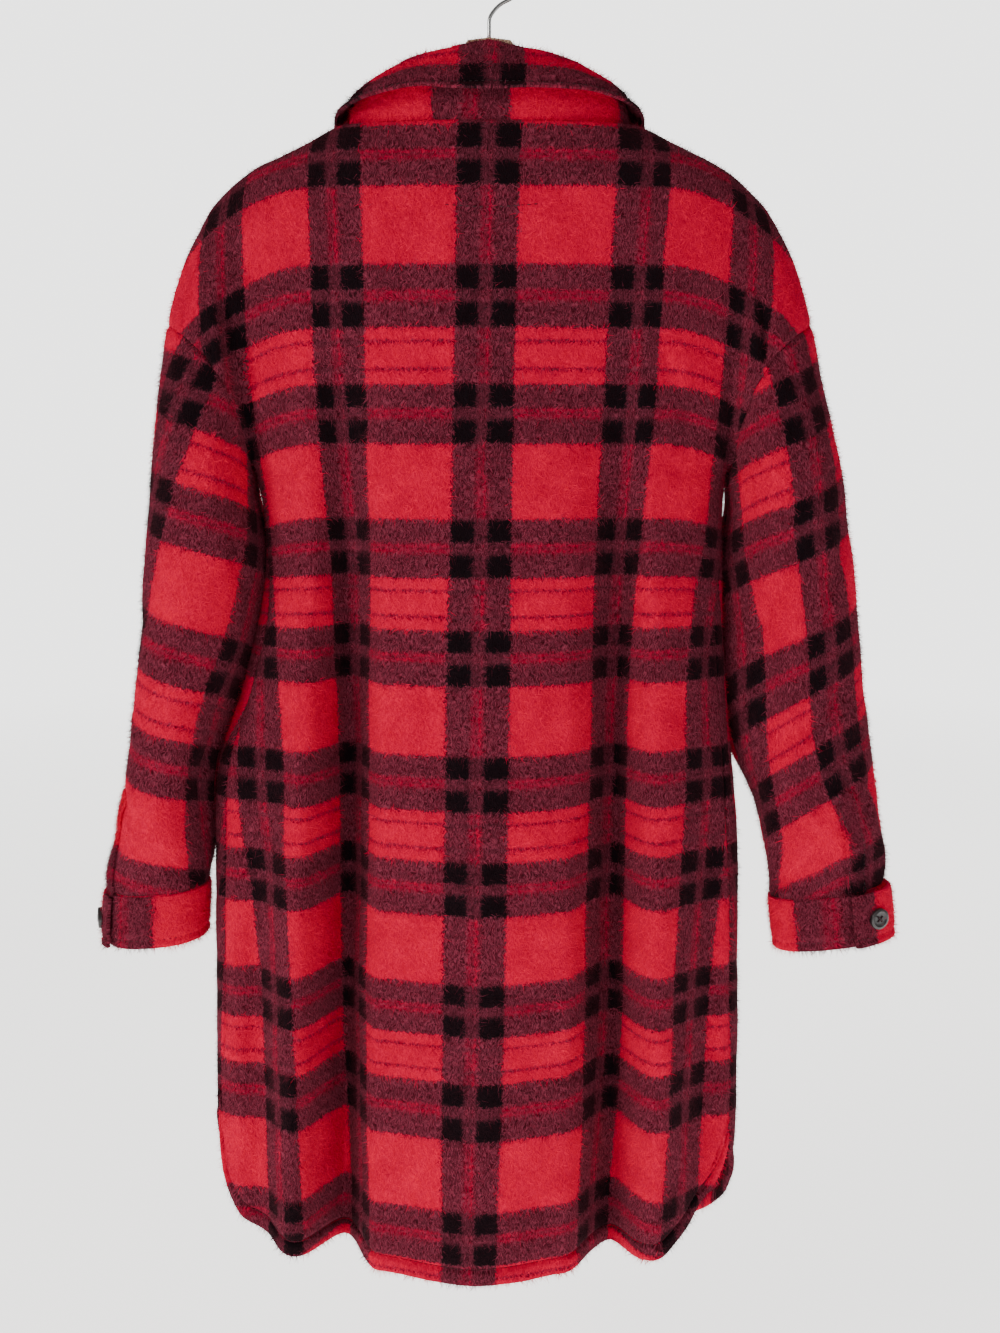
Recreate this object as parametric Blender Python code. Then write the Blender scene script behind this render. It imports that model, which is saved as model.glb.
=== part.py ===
# Long shirt jacket of thick brushed wool, hung from a wooden hanger.
# Metres, +Z up. The garment faces -Y and its back faces +Y. The origin is the inside
# of the hook's top bend, where a rail would carry the hanger.

import bpy
import bmesh
import math
import numpy as np
from mathutils import Vector

MM = 0.001                  # every size below is in millimetres

# Cloth
WALL = 2.5                  # one layer of the brushed wool
HEM_WALL = 4.5              # the turned hem is two layers
HEM_TURN = 14.0             # depth of the turned hem
HEM_STEP = 3.0              # run over which the turned hem's thickness begins
SEAM_GAP = 0.3              # clear space between pieces
SEAM_SPARE = 0.04           # more at each edge, where straight cells cut a curve short
SLEEVE_SPARE = 0.2          # more again on the sleeve's edge at the armhole
ROUNDNESS = 2.2             # exponent of the ovals that the cloth hangs in

# Heights, measured down from the hook
NECK_BACK = -133.5
NECK_SHOULDER = -130.0
NECK_FRONT = -195.0
NECK_HALF = 114.0
UNDERARM = -405.0
CAP_FOOT = -480.0           # where the dropped shoulder's cells give way to the sleeve's tube
HEM_BACK = -1086.0
HEM_FRONT = -1105.0
HEM_RISE = {"l": 131.0, "r": 101.0}     # how far the back hem climbs to each side seam
HEM_FLAT = {"l": (0.4, 12), "r": (0.18, 10)}    # share of a slow climb, power of the steep end
LEAN = 20.0                 # how far the centre back hangs towards +X at the hem
SEAM_TURN = 18.0            # degrees that the side seams come round to the back
SEAM_SETTLE = 130.0         # length below the underarm over which they do
CREASE_LENGTH = 60.0        # last of the armhole, where sleeve and body part in a crease

# Panels, cells across and down each
PANEL_CELLS = 16            # from the middle of a panel to its side
NECK_CELLS = 6              # of those, the ones along the neck seam
SKIRT_ROWS = 10             # rows below the underarm
CAP_ROWS = 4
TUBE_ROWS = 9
# Rows of a panel down the armhole, which are also the cells half way round a sleeve
YOKE_SHARES = (0, 0.04, 0.11, 0.2, 0.31, 0.43, 0.55, 0.67, 0.79, 0.9, 1)

# Cuffs
CUFF_WALL = 4.0
CUFF_HEIGHT = 46.0
CUFF_LAP = 28.0
CUFF_LIFT = 5.0             # how far the upper end stands off the lower end
CUFF_CELLS = 32
CUFF_EASE = 1.0             # how far it stands outside the sleeve's end
LIFT_RUN = 45.0             # length over which the upper end comes away
LIFT_SPARE = 5.0            # clear length between that and the lower end
TILT_FROM = 0.4             # share of the sleeve's tube where it starts to tilt to its cuff
GATHER_FROM = 0.8           # and where it is drawn in to the cuff's size

# Buttons
BUTTON_ACROSS = 18.0
BUTTON_THICK = 3.6
BUTTON_RIM = 0.24           # shares of its radius: the rim, and the step down to the middle
BUTTON_STEP = 0.08
BUTTON_SEAT = 0.3           # off the band
CUFF_BUTTON_SEAT = 0.8      # off the curve of the cuff
CUFF_BUTTON_INSET = 17.0    # from the edge of the cuff's upper end
FRONT_BUTTONS = 6
FIRST_BUTTON = 60.0         # below the front neck
BUTTON_PITCH = 125.0

# Front band and sleeve plackets
BAND_WIDTH = 34.0
BAND_WALL = 3.0
BAND_LIFT = 0.5             # off the fronts
BAND_DROP = 3.0             # below the neck seam
BAND_ROWS = 24
PLACKET_WIDTH = 16.0
PLACKET_LENGTH = 92.0
PLACKET_WALL = 2.0
PLACKET_GAP = 1.3           # off the sleeve, whose cells cut its curve short

# In-seam pockets
POCKET_TOP = -600.0
POCKET_LENGTH = 160.0
POCKET_GAP = 3.0            # how far the back edge of the slit stands open
POCKET_CLEAR = 2.4          # between the panels and the facing behind the slit
POCKET_REACH = 16.0         # of the facing, each way from the slit

# Hanger
HANGER_THICK = 14.0
HANGER_ROUND = 2.0          # of its long edges
HOOK_WIRE = 3.0
HOOK_RADIUS = 20.0          # inside the bend
BORE_DEPTH = 12.0


def table(columns, *rows):
    """Named columns of a short table, with its rows sorted by their first column."""
    data = np.array(sorted(rows), float)
    return {name: data[:, i] for i, name in enumerate(columns.split())}


def read(rows, column, z):
    """A column at height z, on a smooth curve through the rows."""
    zs, values = rows["z"], rows[column]
    z = min(max(z, zs[0]), zs[-1])
    slopes = np.gradient(values, zs)
    i = min(max(int(np.searchsorted(zs, z)) - 1, 0), len(zs) - 2)
    h = zs[i + 1] - zs[i]
    t = (z - zs[i]) / h
    return (values[i] * (1 + 2 * t) * (1 - t) ** 2 + h * slopes[i] * t * (1 - t) ** 2
            + values[i + 1] * t * t * (3 - 2 * t) + h * slopes[i + 1] * t * t * (t - 1))


# The body: how far its sides reach left and right, and how deep it hangs to the back and front.
# Down to -194 its sides are the shoulders over the hanger.
BODY = table(
    "z l r back front",
    (-129, 110, 110, 42, 46),
    (-130, 114, 114, 44, 48),
    (-145, 151, 151, 49, 53),
    (-160, 184, 184, 52, 57),
    (-178, 208, 208, 55, 60),
    (-194, 224, 224, 56, 62),
    (-222, 237, 237, 58, 64),
    (-253, 241, 241, 60, 66),
    (-284, 236, 237, 61, 67),
    (-330, 221, 224, 62, 69),
    (-370, 206, 208, 63, 71),
    (-405, 193, 196, 64, 73),
    (-475, 186, 194, 64, 76),
    (-576, 207, 199, 62, 80),
    (-645, 230, 206, 61, 82),
    (-722, 235, 212, 60, 83),
    (-860, 239, 216, 58, 84),
    (-950, 241, 217, 57, 84),
    (-1100, 238, 210, 56, 84))

# The sleeves: outer and inner edge seen from behind, and half their depth front to back.
# Above the underarm these are the dropped shoulders that bulge over the body.
SLEEVE = {
    "l": table(
        "z outer inner depth",
        (-194, 224, 200, 0),
        (-222, 240, 197, 22),
        (-253, 252, 195, 36),
        (-284, 260, 193, 46),
        (-330, 268, 192, 56),
        (-370, 273, 193, 61),
        (-405, 277, 193, 63),
        (-440, 281, 190, 63),
        (-480, 286, 190, 61),
        (-530, 291, 200, 59),
        (-576, 296, 216, 57),
        (-610, 301, 229, 55),
        (-645, 307, 241, 53),
        (-707, 316, 245, 49),
        (-760, 325, 245, 40)),
    "r": table(
        "z outer inner depth",
        (-194, 224, 200, 0),
        (-222, 240, 197, 22),
        (-253, 252, 195, 36),
        (-284, 260, 193, 46),
        (-330, 270, 193, 56),
        (-370, 281, 195, 61),
        (-405, 289, 196, 63),
        (-440, 294, 199, 62),
        (-480, 301, 202, 59),
        (-530, 308, 204, 55),
        (-576, 314, 206, 51),
        (-610, 319, 211, 49),
        (-645, 324, 219, 47),
        (-707, 334, 235, 42),
        (-760, 341, 240, 33))}
ROUND_SLEEVE = 2.5          # how sharply the dropped shoulder meets the body

# Where each sleeve is sewn on, from the shoulder tip to the underarm
ARMHOLE = table(
    "x z",
    (260, -284),
    (240, -296),
    (222, -312),
    (207, -335),
    (197, -368),
    (193.5, -405))

# Cuffs: middle, half width and half depth of the upper edge, tilt of the seam and turn of the
# slit from the outer side to the back in degrees, and how far the cuff leans as it goes down
CUFF = {
    "l": dict(x=284.5, z=-754.0, half=41.5, depth=38.0, tilt=-4.0, slit=40.0, lean=-0.06),
    "r": dict(x=-290.5, z=-757.5, half=49.0, depth=29.0, tilt=8.0, slit=77.0, lean=0.12)}

# Folds that hang in the back and the fronts, a row for each: x at its top, x at the hem, height
# where it starts, height where it is full, reach to -X, reach to +X, and size outwards, so a
# valley has a minus.
BACK_FOLDS = [
    (112, 122, -200, -680, 32, 34, -46),
    (154, 164, -340, -860, 24, 30, 10),
    (-104, -106, -200, -700, 26, 44, -42),
    (-138, -143, -370, -860, 26, 18, 12),
    (6, 12, -240, -760, 92, 88, 16),
    (196, 200, -520, -860, 22, 22, -8),
    (-186, -184, -520, -860, 20, 22, -8)]
FRONT_FOLDS = [
    (96, 112, -280, -860, 38, 36, -34),
    (150, 160, -420, -900, 28, 30, 8),
    (-100, -108, -280, -860, 36, 40, -32),
    (-150, -152, -420, -900, 30, 26, 8)]


def side_of(x):
    return "l" if x > 0 else "r"


def oval(t):
    """Height of a rounded oval over its half width, from 1 at the middle to 0 at its end."""
    return max(0.0, 1.0 - abs(t) ** ROUNDNESS) ** (1.0 / ROUNDNESS)


def smooth(t):
    t = min(max(t, 0.0), 1.0)
    return t * t * (3 - 2 * t)


def fold_depth(x, z, folds, half):
    """Sum of the folds at x, z, dying out towards the sides."""
    total = 0.0
    for x_top, x_hem, top, full, right, left, size in folds:
        middle = x_top + (x_hem - x_top) * smooth((UNDERARM - z) / (UNDERARM - HEM_BACK))
        reach = left if x > middle else right
        t = (x - middle) / reach
        if abs(t) < 1:
            total += size * smooth((top - z) / (top - full)) * (0.5 + 0.5 * math.cos(math.pi * t))
    return total * smooth((1 - abs(x) / half) / 0.12)


def body_depth(x, z, back):
    """How far the body's cloth hangs behind, or in front of, the hanger at x, z."""
    half = read(BODY, side_of(x), z)
    depth = read(BODY, "back" if back else "front", z)
    folds = BACK_FOLDS if back else FRONT_FOLDS
    return depth * oval(x / half) + fold_depth(x, z, folds, half)


def sleeve_depth(x, z, side):
    rows = SLEEVE[side]
    if z > rows["z"][-1]:
        return 0.0
    outer, inner = read(rows, "outer", z), read(rows, "inner", z)
    middle, half = (outer + inner) / 2, (outer - inner) / 2
    return read(rows, "depth", z) * oval((abs(x) - middle) / half)


def yoke_point(x, z, back):
    """A point of the outer face above the underarm, where body and sleeve are one surface."""
    body = max(body_depth(x, z, back), 0.0)
    sleeve = sleeve_depth(x, z, side_of(x))
    y = (body ** ROUND_SLEEVE + sleeve ** ROUND_SLEEVE) ** (1 / ROUND_SLEEVE)
    return np.array((x, y if back else -y, z))


def outline(z, side):
    """Half width of the whole garment above the underarm."""
    rows = SLEEVE[side]
    return read(rows, "outer", z) if z < rows["z"][-1] else read(BODY, side, z)


def arc_lengths(points):
    steps = np.linalg.norm(np.diff(points, axis=0), axis=1)
    return np.concatenate(([0.0], np.cumsum(steps)))


def along(points, share):
    """The point at a share of a polyline's length."""
    lengths = arc_lengths(points)
    target = share * lengths[-1]
    return np.array([np.interp(target, lengths, points[:, i]) for i in range(points.shape[1])])


def centre(z):
    """Where the middle of the cloth hangs at height z."""
    return LEAN * (NECK_BACK - z) / (NECK_BACK - HEM_BACK)


def seam_angle(z):
    """Turn of the side seam round to the back, in radians."""
    return math.radians(SEAM_TURN) * smooth((UNDERARM - z) / SEAM_SETTLE)


ring_cache = {}


def body_ring(z, back, side):
    """The body's section at height z, from the middle out to the side seam."""
    key = (round(z, 3), back, side)
    if key not in ring_cache:
        sign = 1 if side == "l" else -1
        half = read(BODY, side, z)
        start, end = math.pi / 2, seam_angle(z) if back else -seam_angle(z)
        points = []
        for angle in np.linspace(start + 0.3, end, 110):
            x = sign * half * math.copysign(abs(math.cos(angle)) ** (2 / ROUNDNESS), math.cos(angle))
            face = back if angle > 0 else not back
            height = read(BODY, "back" if face else "front", z)
            y = height * abs(math.sin(angle)) ** (2 / ROUNDNESS)
            y += fold_depth(x, z, BACK_FOLDS if face else FRONT_FOLDS, half)
            points.append((x, y if face else -y, z))
        points = np.array(points)
        beyond = sign * (points[:, 0] - centre(z)) > 0
        first = int(np.argmax(beyond))
        a, b = points[first - 1], points[first]
        middle = a + (b - a) * (centre(z) - a[0]) / (b[0] - a[0])
        ring_cache[key] = np.vstack((middle, points[first:]))
    return ring_cache[key]


def hem_height(share, back, side):
    """Height of the hem at a share of the way from the middle to the side seam."""
    if back:
        slow, steep = HEM_FLAT[side]
        climb = slow * share ** 2 + (1 - slow) * share ** steep
        return HEM_BACK + HEM_RISE[side] * climb
    return HEM_FRONT + (HEM_RISE[side] - (HEM_FRONT - HEM_BACK)) * share ** 7


def neck_edge(x, back):
    t = (x / NECK_HALF) ** 2
    lowest = NECK_BACK if back else NECK_FRONT
    return lowest + (NECK_SHOULDER - lowest) * t


def shoulder_line(back, side):
    """Top edge of a panel in two runs: along the neck, then over the shoulder to its tip."""
    sign = 1 if side == "l" else -1
    neck = [yoke_point(sign * x, neck_edge(x, back), back)
            for x in NECK_HALF * np.sin(np.linspace(0, math.pi / 2, 60))]
    tip = ARMHOLE["z"][-1]
    shoulder = [np.array((sign * outline(z, side), 0.0, z))
                for z in np.linspace(NECK_SHOULDER, tip, 60)]
    neck[-1] = shoulder[0]
    return np.array(neck), np.array(shoulder)


def armhole_line(back, side):
    sign = 1 if side == "l" else -1
    tip_x, tip_z = ARMHOLE["x"][-1], ARMHOLE["z"][-1]
    edge = []
    widen = read(BODY, side, UNDERARM) - ARMHOLE["x"][0]
    for share in np.linspace(0, 1, 60):
        x = tip_x + (ARMHOLE["x"][0] - tip_x) * share
        z = np.interp(x, ARMHOLE["x"], ARMHOLE["z"])
        edge.append(yoke_point(sign * (x + widen * share), z, back))
    edge[0] = np.array((sign * outline(tip_z, side), 0.0, tip_z))
    edge[-1] = np.array((sign * read(BODY, side, UNDERARM), 0.0, UNDERARM))
    return np.array(edge)


def coons(top, bottom, start, end, u, w):
    """A point inside four edges: top and bottom run along u, start and end run along w."""
    corners = ((1 - u) * (1 - w) * top(0) + u * (1 - w) * top(1)
               + (1 - u) * w * bottom(0) + u * w * bottom(1))
    return ((1 - w) * top(u) + w * bottom(u) + (1 - u) * start(w) + u * end(w)) - corners


def panel_surface(back, side):
    """Outer face of half a panel: u from the middle to the side, w from 0 to 1 down to the
    underarm and from 1 to 2 down to the hem."""
    neck, shoulder = shoulder_line(back, side)
    armhole = armhole_line(back, side)
    neck_share = NECK_CELLS / PANEL_CELLS

    def top(u):
        if u <= neck_share:
            return along(neck, u / neck_share)
        return along(shoulder, (u - neck_share) / (1 - neck_share))

    def bottom(u):
        ring = body_ring(UNDERARM, back, side)
        return ring[0] + (ring[-1] - ring[0]) * u

    def start(w):
        z = neck[0][2] + (UNDERARM - neck[0][2]) * w
        return np.array((centre(z) * w, 0.0, z))

    def end(w):
        return along(armhole, w)

    def point(u, w):
        if w < 1:
            flat = coons(top, bottom, start, end, u, w)
            if u >= 1:
                return end(w)
            if w <= 0:
                return top(u)
            return yoke_point(flat[0], flat[2], back)
        z = UNDERARM + (hem_height(u, back, side) - UNDERARM) * (w - 1)
        return along(body_ring(z, back, side), u)

    return point


def sleeve_surface(back, side):
    """Outer face of half a sleeve: u from the outer edge to the inner edge, w from 0 to 1 over
    the dropped shoulder and from 1 to 2 down to the cuff."""
    sign = 1 if side == "l" else -1
    rows, cuff = SLEEVE[side], CUFF[side]
    armhole = armhole_line(back, side)
    turn = 1 if back else -1

    def ring(z, tilt=0.0, blend=0.0):
        outer, inner = read(rows, "outer", z), read(rows, "inner", z)
        middle, half = sign * (outer + inner) / 2, (outer - inner) / 2
        depth = read(rows, "depth", z)
        middle += (cuff["x"] - middle) * blend
        half += (cuff["half"] - half) * blend
        depth += (cuff["depth"] - depth) * blend
        points = []
        for angle in np.linspace(0, math.pi, 90):
            x = half * math.copysign(abs(math.cos(angle)) ** (2 / ROUNDNESS), math.cos(angle))
            y = depth * abs(math.sin(angle)) ** (2 / ROUNDNESS)
            points.append((middle + sign * x, turn * y, z + x * math.tan(tilt)))
        return np.array(points)

    def bottom(u):
        return along(ring(CAP_FOOT), u)

    def start(w):
        z = armhole[0][2] + (CAP_FOOT - armhole[0][2]) * w
        return np.array((sign * outline(z, side), 0.0, z))

    def end(w):
        z = UNDERARM + (CAP_FOOT - UNDERARM) * w
        return np.array((sign * read(rows, "inner", z), 0.0, z))

    def top(u):
        return along(armhole, u)

    def point(u, w):
        if w <= 0:
            return top(u)
        if w < 1:
            if u <= 0:
                return start(w)
            if u >= 1:
                return end(w)
            x, _, z = coons(top, bottom, start, end, u, w)
            if z >= UNDERARM:
                return yoke_point(x, z, back)
            return np.array((x, turn * sleeve_depth(x, z, side), z))
        t = w - 1
        z = CAP_FOOT + (cuff["z"] + SEAM_GAP - CAP_FOOT) * t
        tilt = math.radians(cuff["tilt"]) * smooth((t - TILT_FROM) / (1 - TILT_FROM))
        return along(ring(z, tilt, smooth((t - GATHER_FROM) / (1 - GATHER_FROM))), u)

    return point


def grid_normals(grid, turn, closed=False):
    """Outward normals at the points of a grid, from their neighbours across and down."""
    across = np.gradient(grid, axis=0)
    if closed:
        across = np.roll(grid, -1, axis=0) - np.roll(grid, 1, axis=0)
    normals = np.cross(across, np.gradient(grid, axis=1)) * turn
    return normals / np.linalg.norm(normals, axis=2, keepdims=True)


def unit(v):
    return v / np.linalg.norm(v)


def shoulder_normal(z, side):
    """Normal of the shoulder's outline, where back and front meet over the hanger."""
    slope = (outline(z + 2, side) - outline(z - 2, side)) / 4
    return unit(np.array((1.0 if side == "l" else -1.0, 0.0, -slope)))


def armhole_normal(point, of_sleeve):
    """Normal on the armhole, the same for panel and sleeve but for the last of the underarm,
    where they part in a crease and each follows its own slope."""
    x, y, z = point
    side, back = side_of(x), y > 0
    sign, turn, reach = 1 if side == "l" else -1, 1 if back else -1, 5.0
    if abs(y) < 0.01 and z > UNDERARM + 1:
        return shoulder_normal(z, side)

    def depth(dx, dz):
        return abs(yoke_point(x + dx, z + dz, back)[1])

    slope_x = (depth(reach, 0) - depth(-reach, 0)) / (2 * reach)
    slope_z = (depth(0, reach) - depth(0, -reach)) / (2 * reach)
    shared = unit(np.array((-slope_x, turn, -slope_z)))
    away = sign * reach * (1 if of_sleeve else -1)
    own = unit(np.array((-(depth(away, 0) - depth(0, 0)) / away, turn, 0.0)))
    part = smooth((UNDERARM + CREASE_LENGTH - z) / (CREASE_LENGTH / 2))
    return unit(shared * (1 - part) + own * part)


def side_seam_normal(z, side):
    """Normal of the body where back and front meet below the underarm."""
    step = body_ring(z, False, side)[-2] - body_ring(z, True, side)[-2]
    return unit(np.array((-step[1], step[0], 0.0)) * (1 if side == "l" else -1))


def trim(outer, inner, axis, at, extra=0.0):
    """Draw one edge of a grid in by half the seam gap, and by what more each point is given."""
    pick = [slice(None)] * 3
    near = [slice(None)] * 3
    pick[axis] = at
    near[axis] = 1 if at == 0 else -2
    step = outer[tuple(near)] - outer[tuple(pick)]
    step *= (SEAM_GAP / 2 + SEAM_SPARE + extra) / np.linalg.norm(step, axis=-1, keepdims=True)
    outer[tuple(pick)] += step
    inner[tuple(pick)] += step


def material(name, color, roughness, metallic=0.0):
    found = bpy.data.materials.get(name)
    if found:
        return found
    made = bpy.data.materials.new(name)
    made.use_nodes = True
    shader = made.node_tree.nodes["Principled BSDF"]
    shader.inputs["Base Color"].default_value = (*color, 1.0)
    shader.inputs["Roughness"].default_value = roughness
    shader.inputs["Metallic"].default_value = metallic
    return made


def add_object(name, data, finish):
    data.materials.clear()
    data.materials.append(finish)
    made = bpy.data.objects.new(name, data)
    garment.objects.link(made)
    return made


def cloth_piece(name, outer, inner, finish, closed=False):
    """A closed wall between an outer and an inner grid of points, indexed [across][down].
    A closed piece joins its last column to its first, as a tube does."""
    across, down = outer.shape[:2]
    columns = across if closed else across - 1
    bm = bmesh.new()
    front, rear = [[[bm.verts.new(Vector(p) * MM) for p in column] for column in grid]
                   for grid in (outer, inner)]

    def split(a, b, c, d, along_ac):
        """Two triangles in place of a four-sided cell."""
        for corners in ((a, b, c), (a, c, d)) if along_ac else ((b, c, d), (b, d, a)):
            bm.faces.new(corners)

    def cell(i, n, j):
        """Both walls of a cell, cut along the shorter diagonal of the outer one."""
        a, b, c, d = front[i][j], front[n][j], front[n][j + 1], front[i][j + 1]
        shorter = (a.co - c.co).length < (b.co - d.co).length
        split(a, b, c, d, shorter)
        split(rear[i][j + 1], rear[n][j + 1], rear[n][j], rear[i][j], not shorter)

    def rim(a, b, c, d):
        """An edge from outer points a, b to inner points c, d, cut the same way on each side of
        a seam."""
        split(a, b, c, d, abs(a.co.x) - a.co.z > abs(b.co.x) - b.co.z)

    for i in range(columns):
        n = (i + 1) % across
        for j in range(down - 1):
            cell(i, n, j)
        rim(front[n][0], front[i][0], rear[i][0], rear[n][0])
        rim(front[i][-1], front[n][-1], rear[n][-1], rear[i][-1])
    if not closed:
        for j in range(down - 1):
            rim(front[0][j], front[0][j + 1], rear[0][j + 1], rear[0][j])
            rim(front[-1][j + 1], front[-1][j], rear[-1][j], rear[-1][j + 1])
    bmesh.ops.recalc_face_normals(bm, faces=bm.faces)
    data = bpy.data.meshes.new(name)
    bm.to_mesh(data)
    bm.free()
    data.shade_smooth()
    data.set_sharp_from_angle(angle=math.radians(50))
    return add_object(name, data, finish)


def wall_at(above_hem):
    """Thickness of the cloth at a distance above the hem."""
    return WALL + (HEM_WALL - WALL) * smooth((HEM_TURN + HEM_STEP - above_hem) / HEM_STEP)


def panel_grids(back, side):
    """Outer and inner grids of half a panel."""
    surface = panel_surface(back, side)
    turn = (1 if side == "l" else -1) * (1 if back else -1)
    heights = list(YOKE_SHARES[:-1]) + [1 + i / SKIRT_ROWS for i in range(SKIRT_ROWS)]
    hem_share = HEM_TURN / (UNDERARM - HEM_BACK)
    heights += [2 - (HEM_TURN + HEM_STEP) / HEM_TURN * hem_share, 2 - hem_share, 2.0]
    outer = np.array([[surface(i / PANEL_CELLS, w) for w in heights]
                      for i in range(PANEL_CELLS + 1)])
    normals = grid_normals(outer, turn)
    armhole_rows = len(YOKE_SHARES) - 1
    for j, point in enumerate(outer[-1]):
        if j < armhole_rows:
            normals[-1, j] = armhole_normal(point, False)
        else:
            normals[-1, j] = side_seam_normal(point[2], side)
    for i in range(NECK_CELLS, PANEL_CELLS + 1):
        normals[i, 0] = shoulder_normal(outer[i, 0][2], side)
    wall = np.array([[wall_at(p[2] - column[-1][2]) for p in column] for column in outer])
    return outer, outer - normals * wall[:, :, None]


def pocket_opening(z):
    """How far the back's edge draws away from the side seam at the pocket's slit."""
    return POCKET_GAP * math.sin(math.pi * min(max((POCKET_TOP - z) / POCKET_LENGTH, 0), 1))


def make_back(finish):
    left_outer, left_inner = panel_grids(True, "l")
    right_outer, right_inner = panel_grids(True, "r")
    left_inner[0] = (left_inner[0] + right_inner[0]) / 2
    outer = np.concatenate((right_outer[:0:-1], left_outer))
    inner = np.concatenate((right_inner[:0:-1], left_inner))
    for at in (0, -1):
        slit = np.array([[pocket_opening(point[2])] for point in outer[at]])
        trim(outer, inner, 0, at, slit)
    trim(outer, inner, 1, 0)
    cloth_piece("back_panel", outer, inner, finish)


def make_front(side, finish):
    outer, inner = panel_grids(False, side)
    trim(outer, inner, 0, -1)
    trim(outer, inner, 1, 0)
    trim(outer, inner, 0, 0)
    cloth_piece("front_left" if side == "l" else "front_right", outer, inner, finish)


def sleeve_grids(side):
    """Closed rings down a sleeve: back half from the outer edge inwards, then the front half."""
    heights = [i / CAP_ROWS for i in range(CAP_ROWS)]
    heights += [1 + i / TUBE_ROWS for i in range(TUBE_ROWS + 1)]
    back, front = sleeve_surface(True, side), sleeve_surface(False, side)
    outer = np.array([[back(u, w) for w in heights] for u in YOKE_SHARES]
                     + [[front(u, w) for w in heights] for u in YOKE_SHARES[-2:0:-1]])
    normals = grid_normals(outer, -1 if side == "l" else 1, closed=True)
    for column in range(len(outer)):
        normals[column, 0] = armhole_normal(outer[column, 0], True)
    return outer, outer - normals * WALL


def make_sleeve(side, finish):
    outer, inner = sleeve_grids(side)
    trim(outer, inner, 1, 0, SLEEVE_SPARE)
    cloth_piece("sleeve_left" if side == "l" else "sleeve_right", outer, inner, finish, closed=True)


def cuff_around(side):
    """Length once round the sleeve's end."""
    cuff = CUFF[side]
    return 2 * math.pi * math.sqrt((cuff["half"] ** 2 + cuff["depth"] ** 2) / 2)


def cuff_path(side, share, lift=0.0):
    """A point of the cuff's outer face at its upper edge. share runs round from the hidden end
    of the lower layer to the edge of the upper layer."""
    cuff = CUFF[side]
    around = cuff_around(side)
    run = share * (around + CUFF_LAP)
    angle = math.radians(cuff["slit"]) + 2 * math.pi * (run - CUFF_LAP) / around
    rise = CUFF_LIFT * smooth((run - around + LIFT_RUN + LIFT_SPARE) / LIFT_RUN) + lift
    half, depth = cuff["half"] + CUFF_EASE + rise, cuff["depth"] + CUFF_EASE + rise
    sign = 1 if side == "l" else -1
    cos, sin = math.cos(angle), math.sin(angle)
    x = half * math.copysign(abs(cos) ** (2 / ROUNDNESS), cos)
    y = depth * math.copysign(abs(sin) ** (2 / ROUNDNESS), sin)
    z = cuff["z"] - SEAM_GAP + x * math.tan(math.radians(cuff["tilt"]))
    return np.array((cuff["x"] + sign * x, y, z))


def cuff_down(side):
    """Step from the cuff's upper edge to its lower edge."""
    return np.array((-CUFF[side]["lean"] * CUFF_HEIGHT, 0.0, -CUFF_HEIGHT))


def make_cuff(side, finish):
    outer, inner = [], []
    down = cuff_down(side)
    for i in range(CUFF_CELLS + 1):
        share = i / CUFF_CELLS
        edge, edge_in = cuff_path(side, share), cuff_path(side, share, -CUFF_WALL)
        outer.append([edge + down * t for t in (0, 0.5, 1)])
        inner.append([edge_in + down * t for t in (0, 0.5, 1)])
    name = "cuff_left" if side == "l" else "cuff_right"
    cloth_piece(name, np.array(outer), np.array(inner), finish)


def make_placket(side, finish):
    """Band beside the sleeve's slit, lying on the sleeve's outer half."""
    surface = sleeve_surface(True, side)
    cuff = CUFF[side]
    sign = 1 if side == "l" else -1
    foot = 2.0
    head = foot - PLACKET_LENGTH / (CAP_FOOT - cuff["z"])
    target = cuff["x"] + sign * cuff["half"] * math.cos(math.radians(cuff["slit"]))
    shares = np.linspace(0, 1, 200)
    ends = np.array([surface(s, foot)[0] for s in shares])
    slit = float(shares[int(np.argmin(abs(ends - target)))])
    width = PLACKET_WIDTH / (cuff_around(side) / 2)
    outer, inner = [], []
    for u in np.linspace(slit - width, slit, 4):
        column, column_in = [], []
        for w in np.linspace(head, foot - 0.002, 7):
            point = surface(u, w)
            across, down = surface(u + 0.02, w) - surface(u - 0.02, w), surface(u, w - 0.01) - point
            normal = unit(np.cross(across, down)) * sign
            column_in.append(point + normal * PLACKET_GAP)
            column.append(point + normal * (PLACKET_GAP + PLACKET_WALL))
        outer.append(column)
        inner.append(column_in)
    name = "sleeve_placket_left" if side == "l" else "sleeve_placket_right"
    cloth_piece(name, np.array(outer), np.array(inner), finish)


def button_mesh(name):
    """Round button with a rim, its back face at the origin and its front along +Z."""
    radius, thick = BUTTON_ACROSS / 2 * MM, BUTTON_THICK * MM
    bm = bmesh.new()
    bmesh.ops.create_cone(bm, cap_ends=True, segments=16, radius1=radius, radius2=radius, depth=thick)
    bmesh.ops.translate(bm, verts=bm.verts, vec=(0, 0, thick / 2))
    top = max(bm.faces, key=lambda f: f.calc_center_median().z)
    bmesh.ops.inset_region(bm, faces=[top], thickness=radius * BUTTON_RIM)
    bmesh.ops.inset_region(bm, faces=[top], thickness=radius * BUTTON_STEP, depth=-thick / 4)
    rim = [e for e in bm.edges if all(abs(v.co.xy.length - radius) < 1e-6 for v in e.verts)
           and abs(e.verts[0].co.z - e.verts[1].co.z) < 1e-6]
    bmesh.ops.bevel(bm, geom=rim, offset=thick / 4, segments=1, affect="EDGES")
    data = bpy.data.meshes.new(name)
    bm.to_mesh(data)
    bm.free()
    data.shade_smooth()
    data.set_sharp_from_angle(angle=math.radians(40))
    return data


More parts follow.
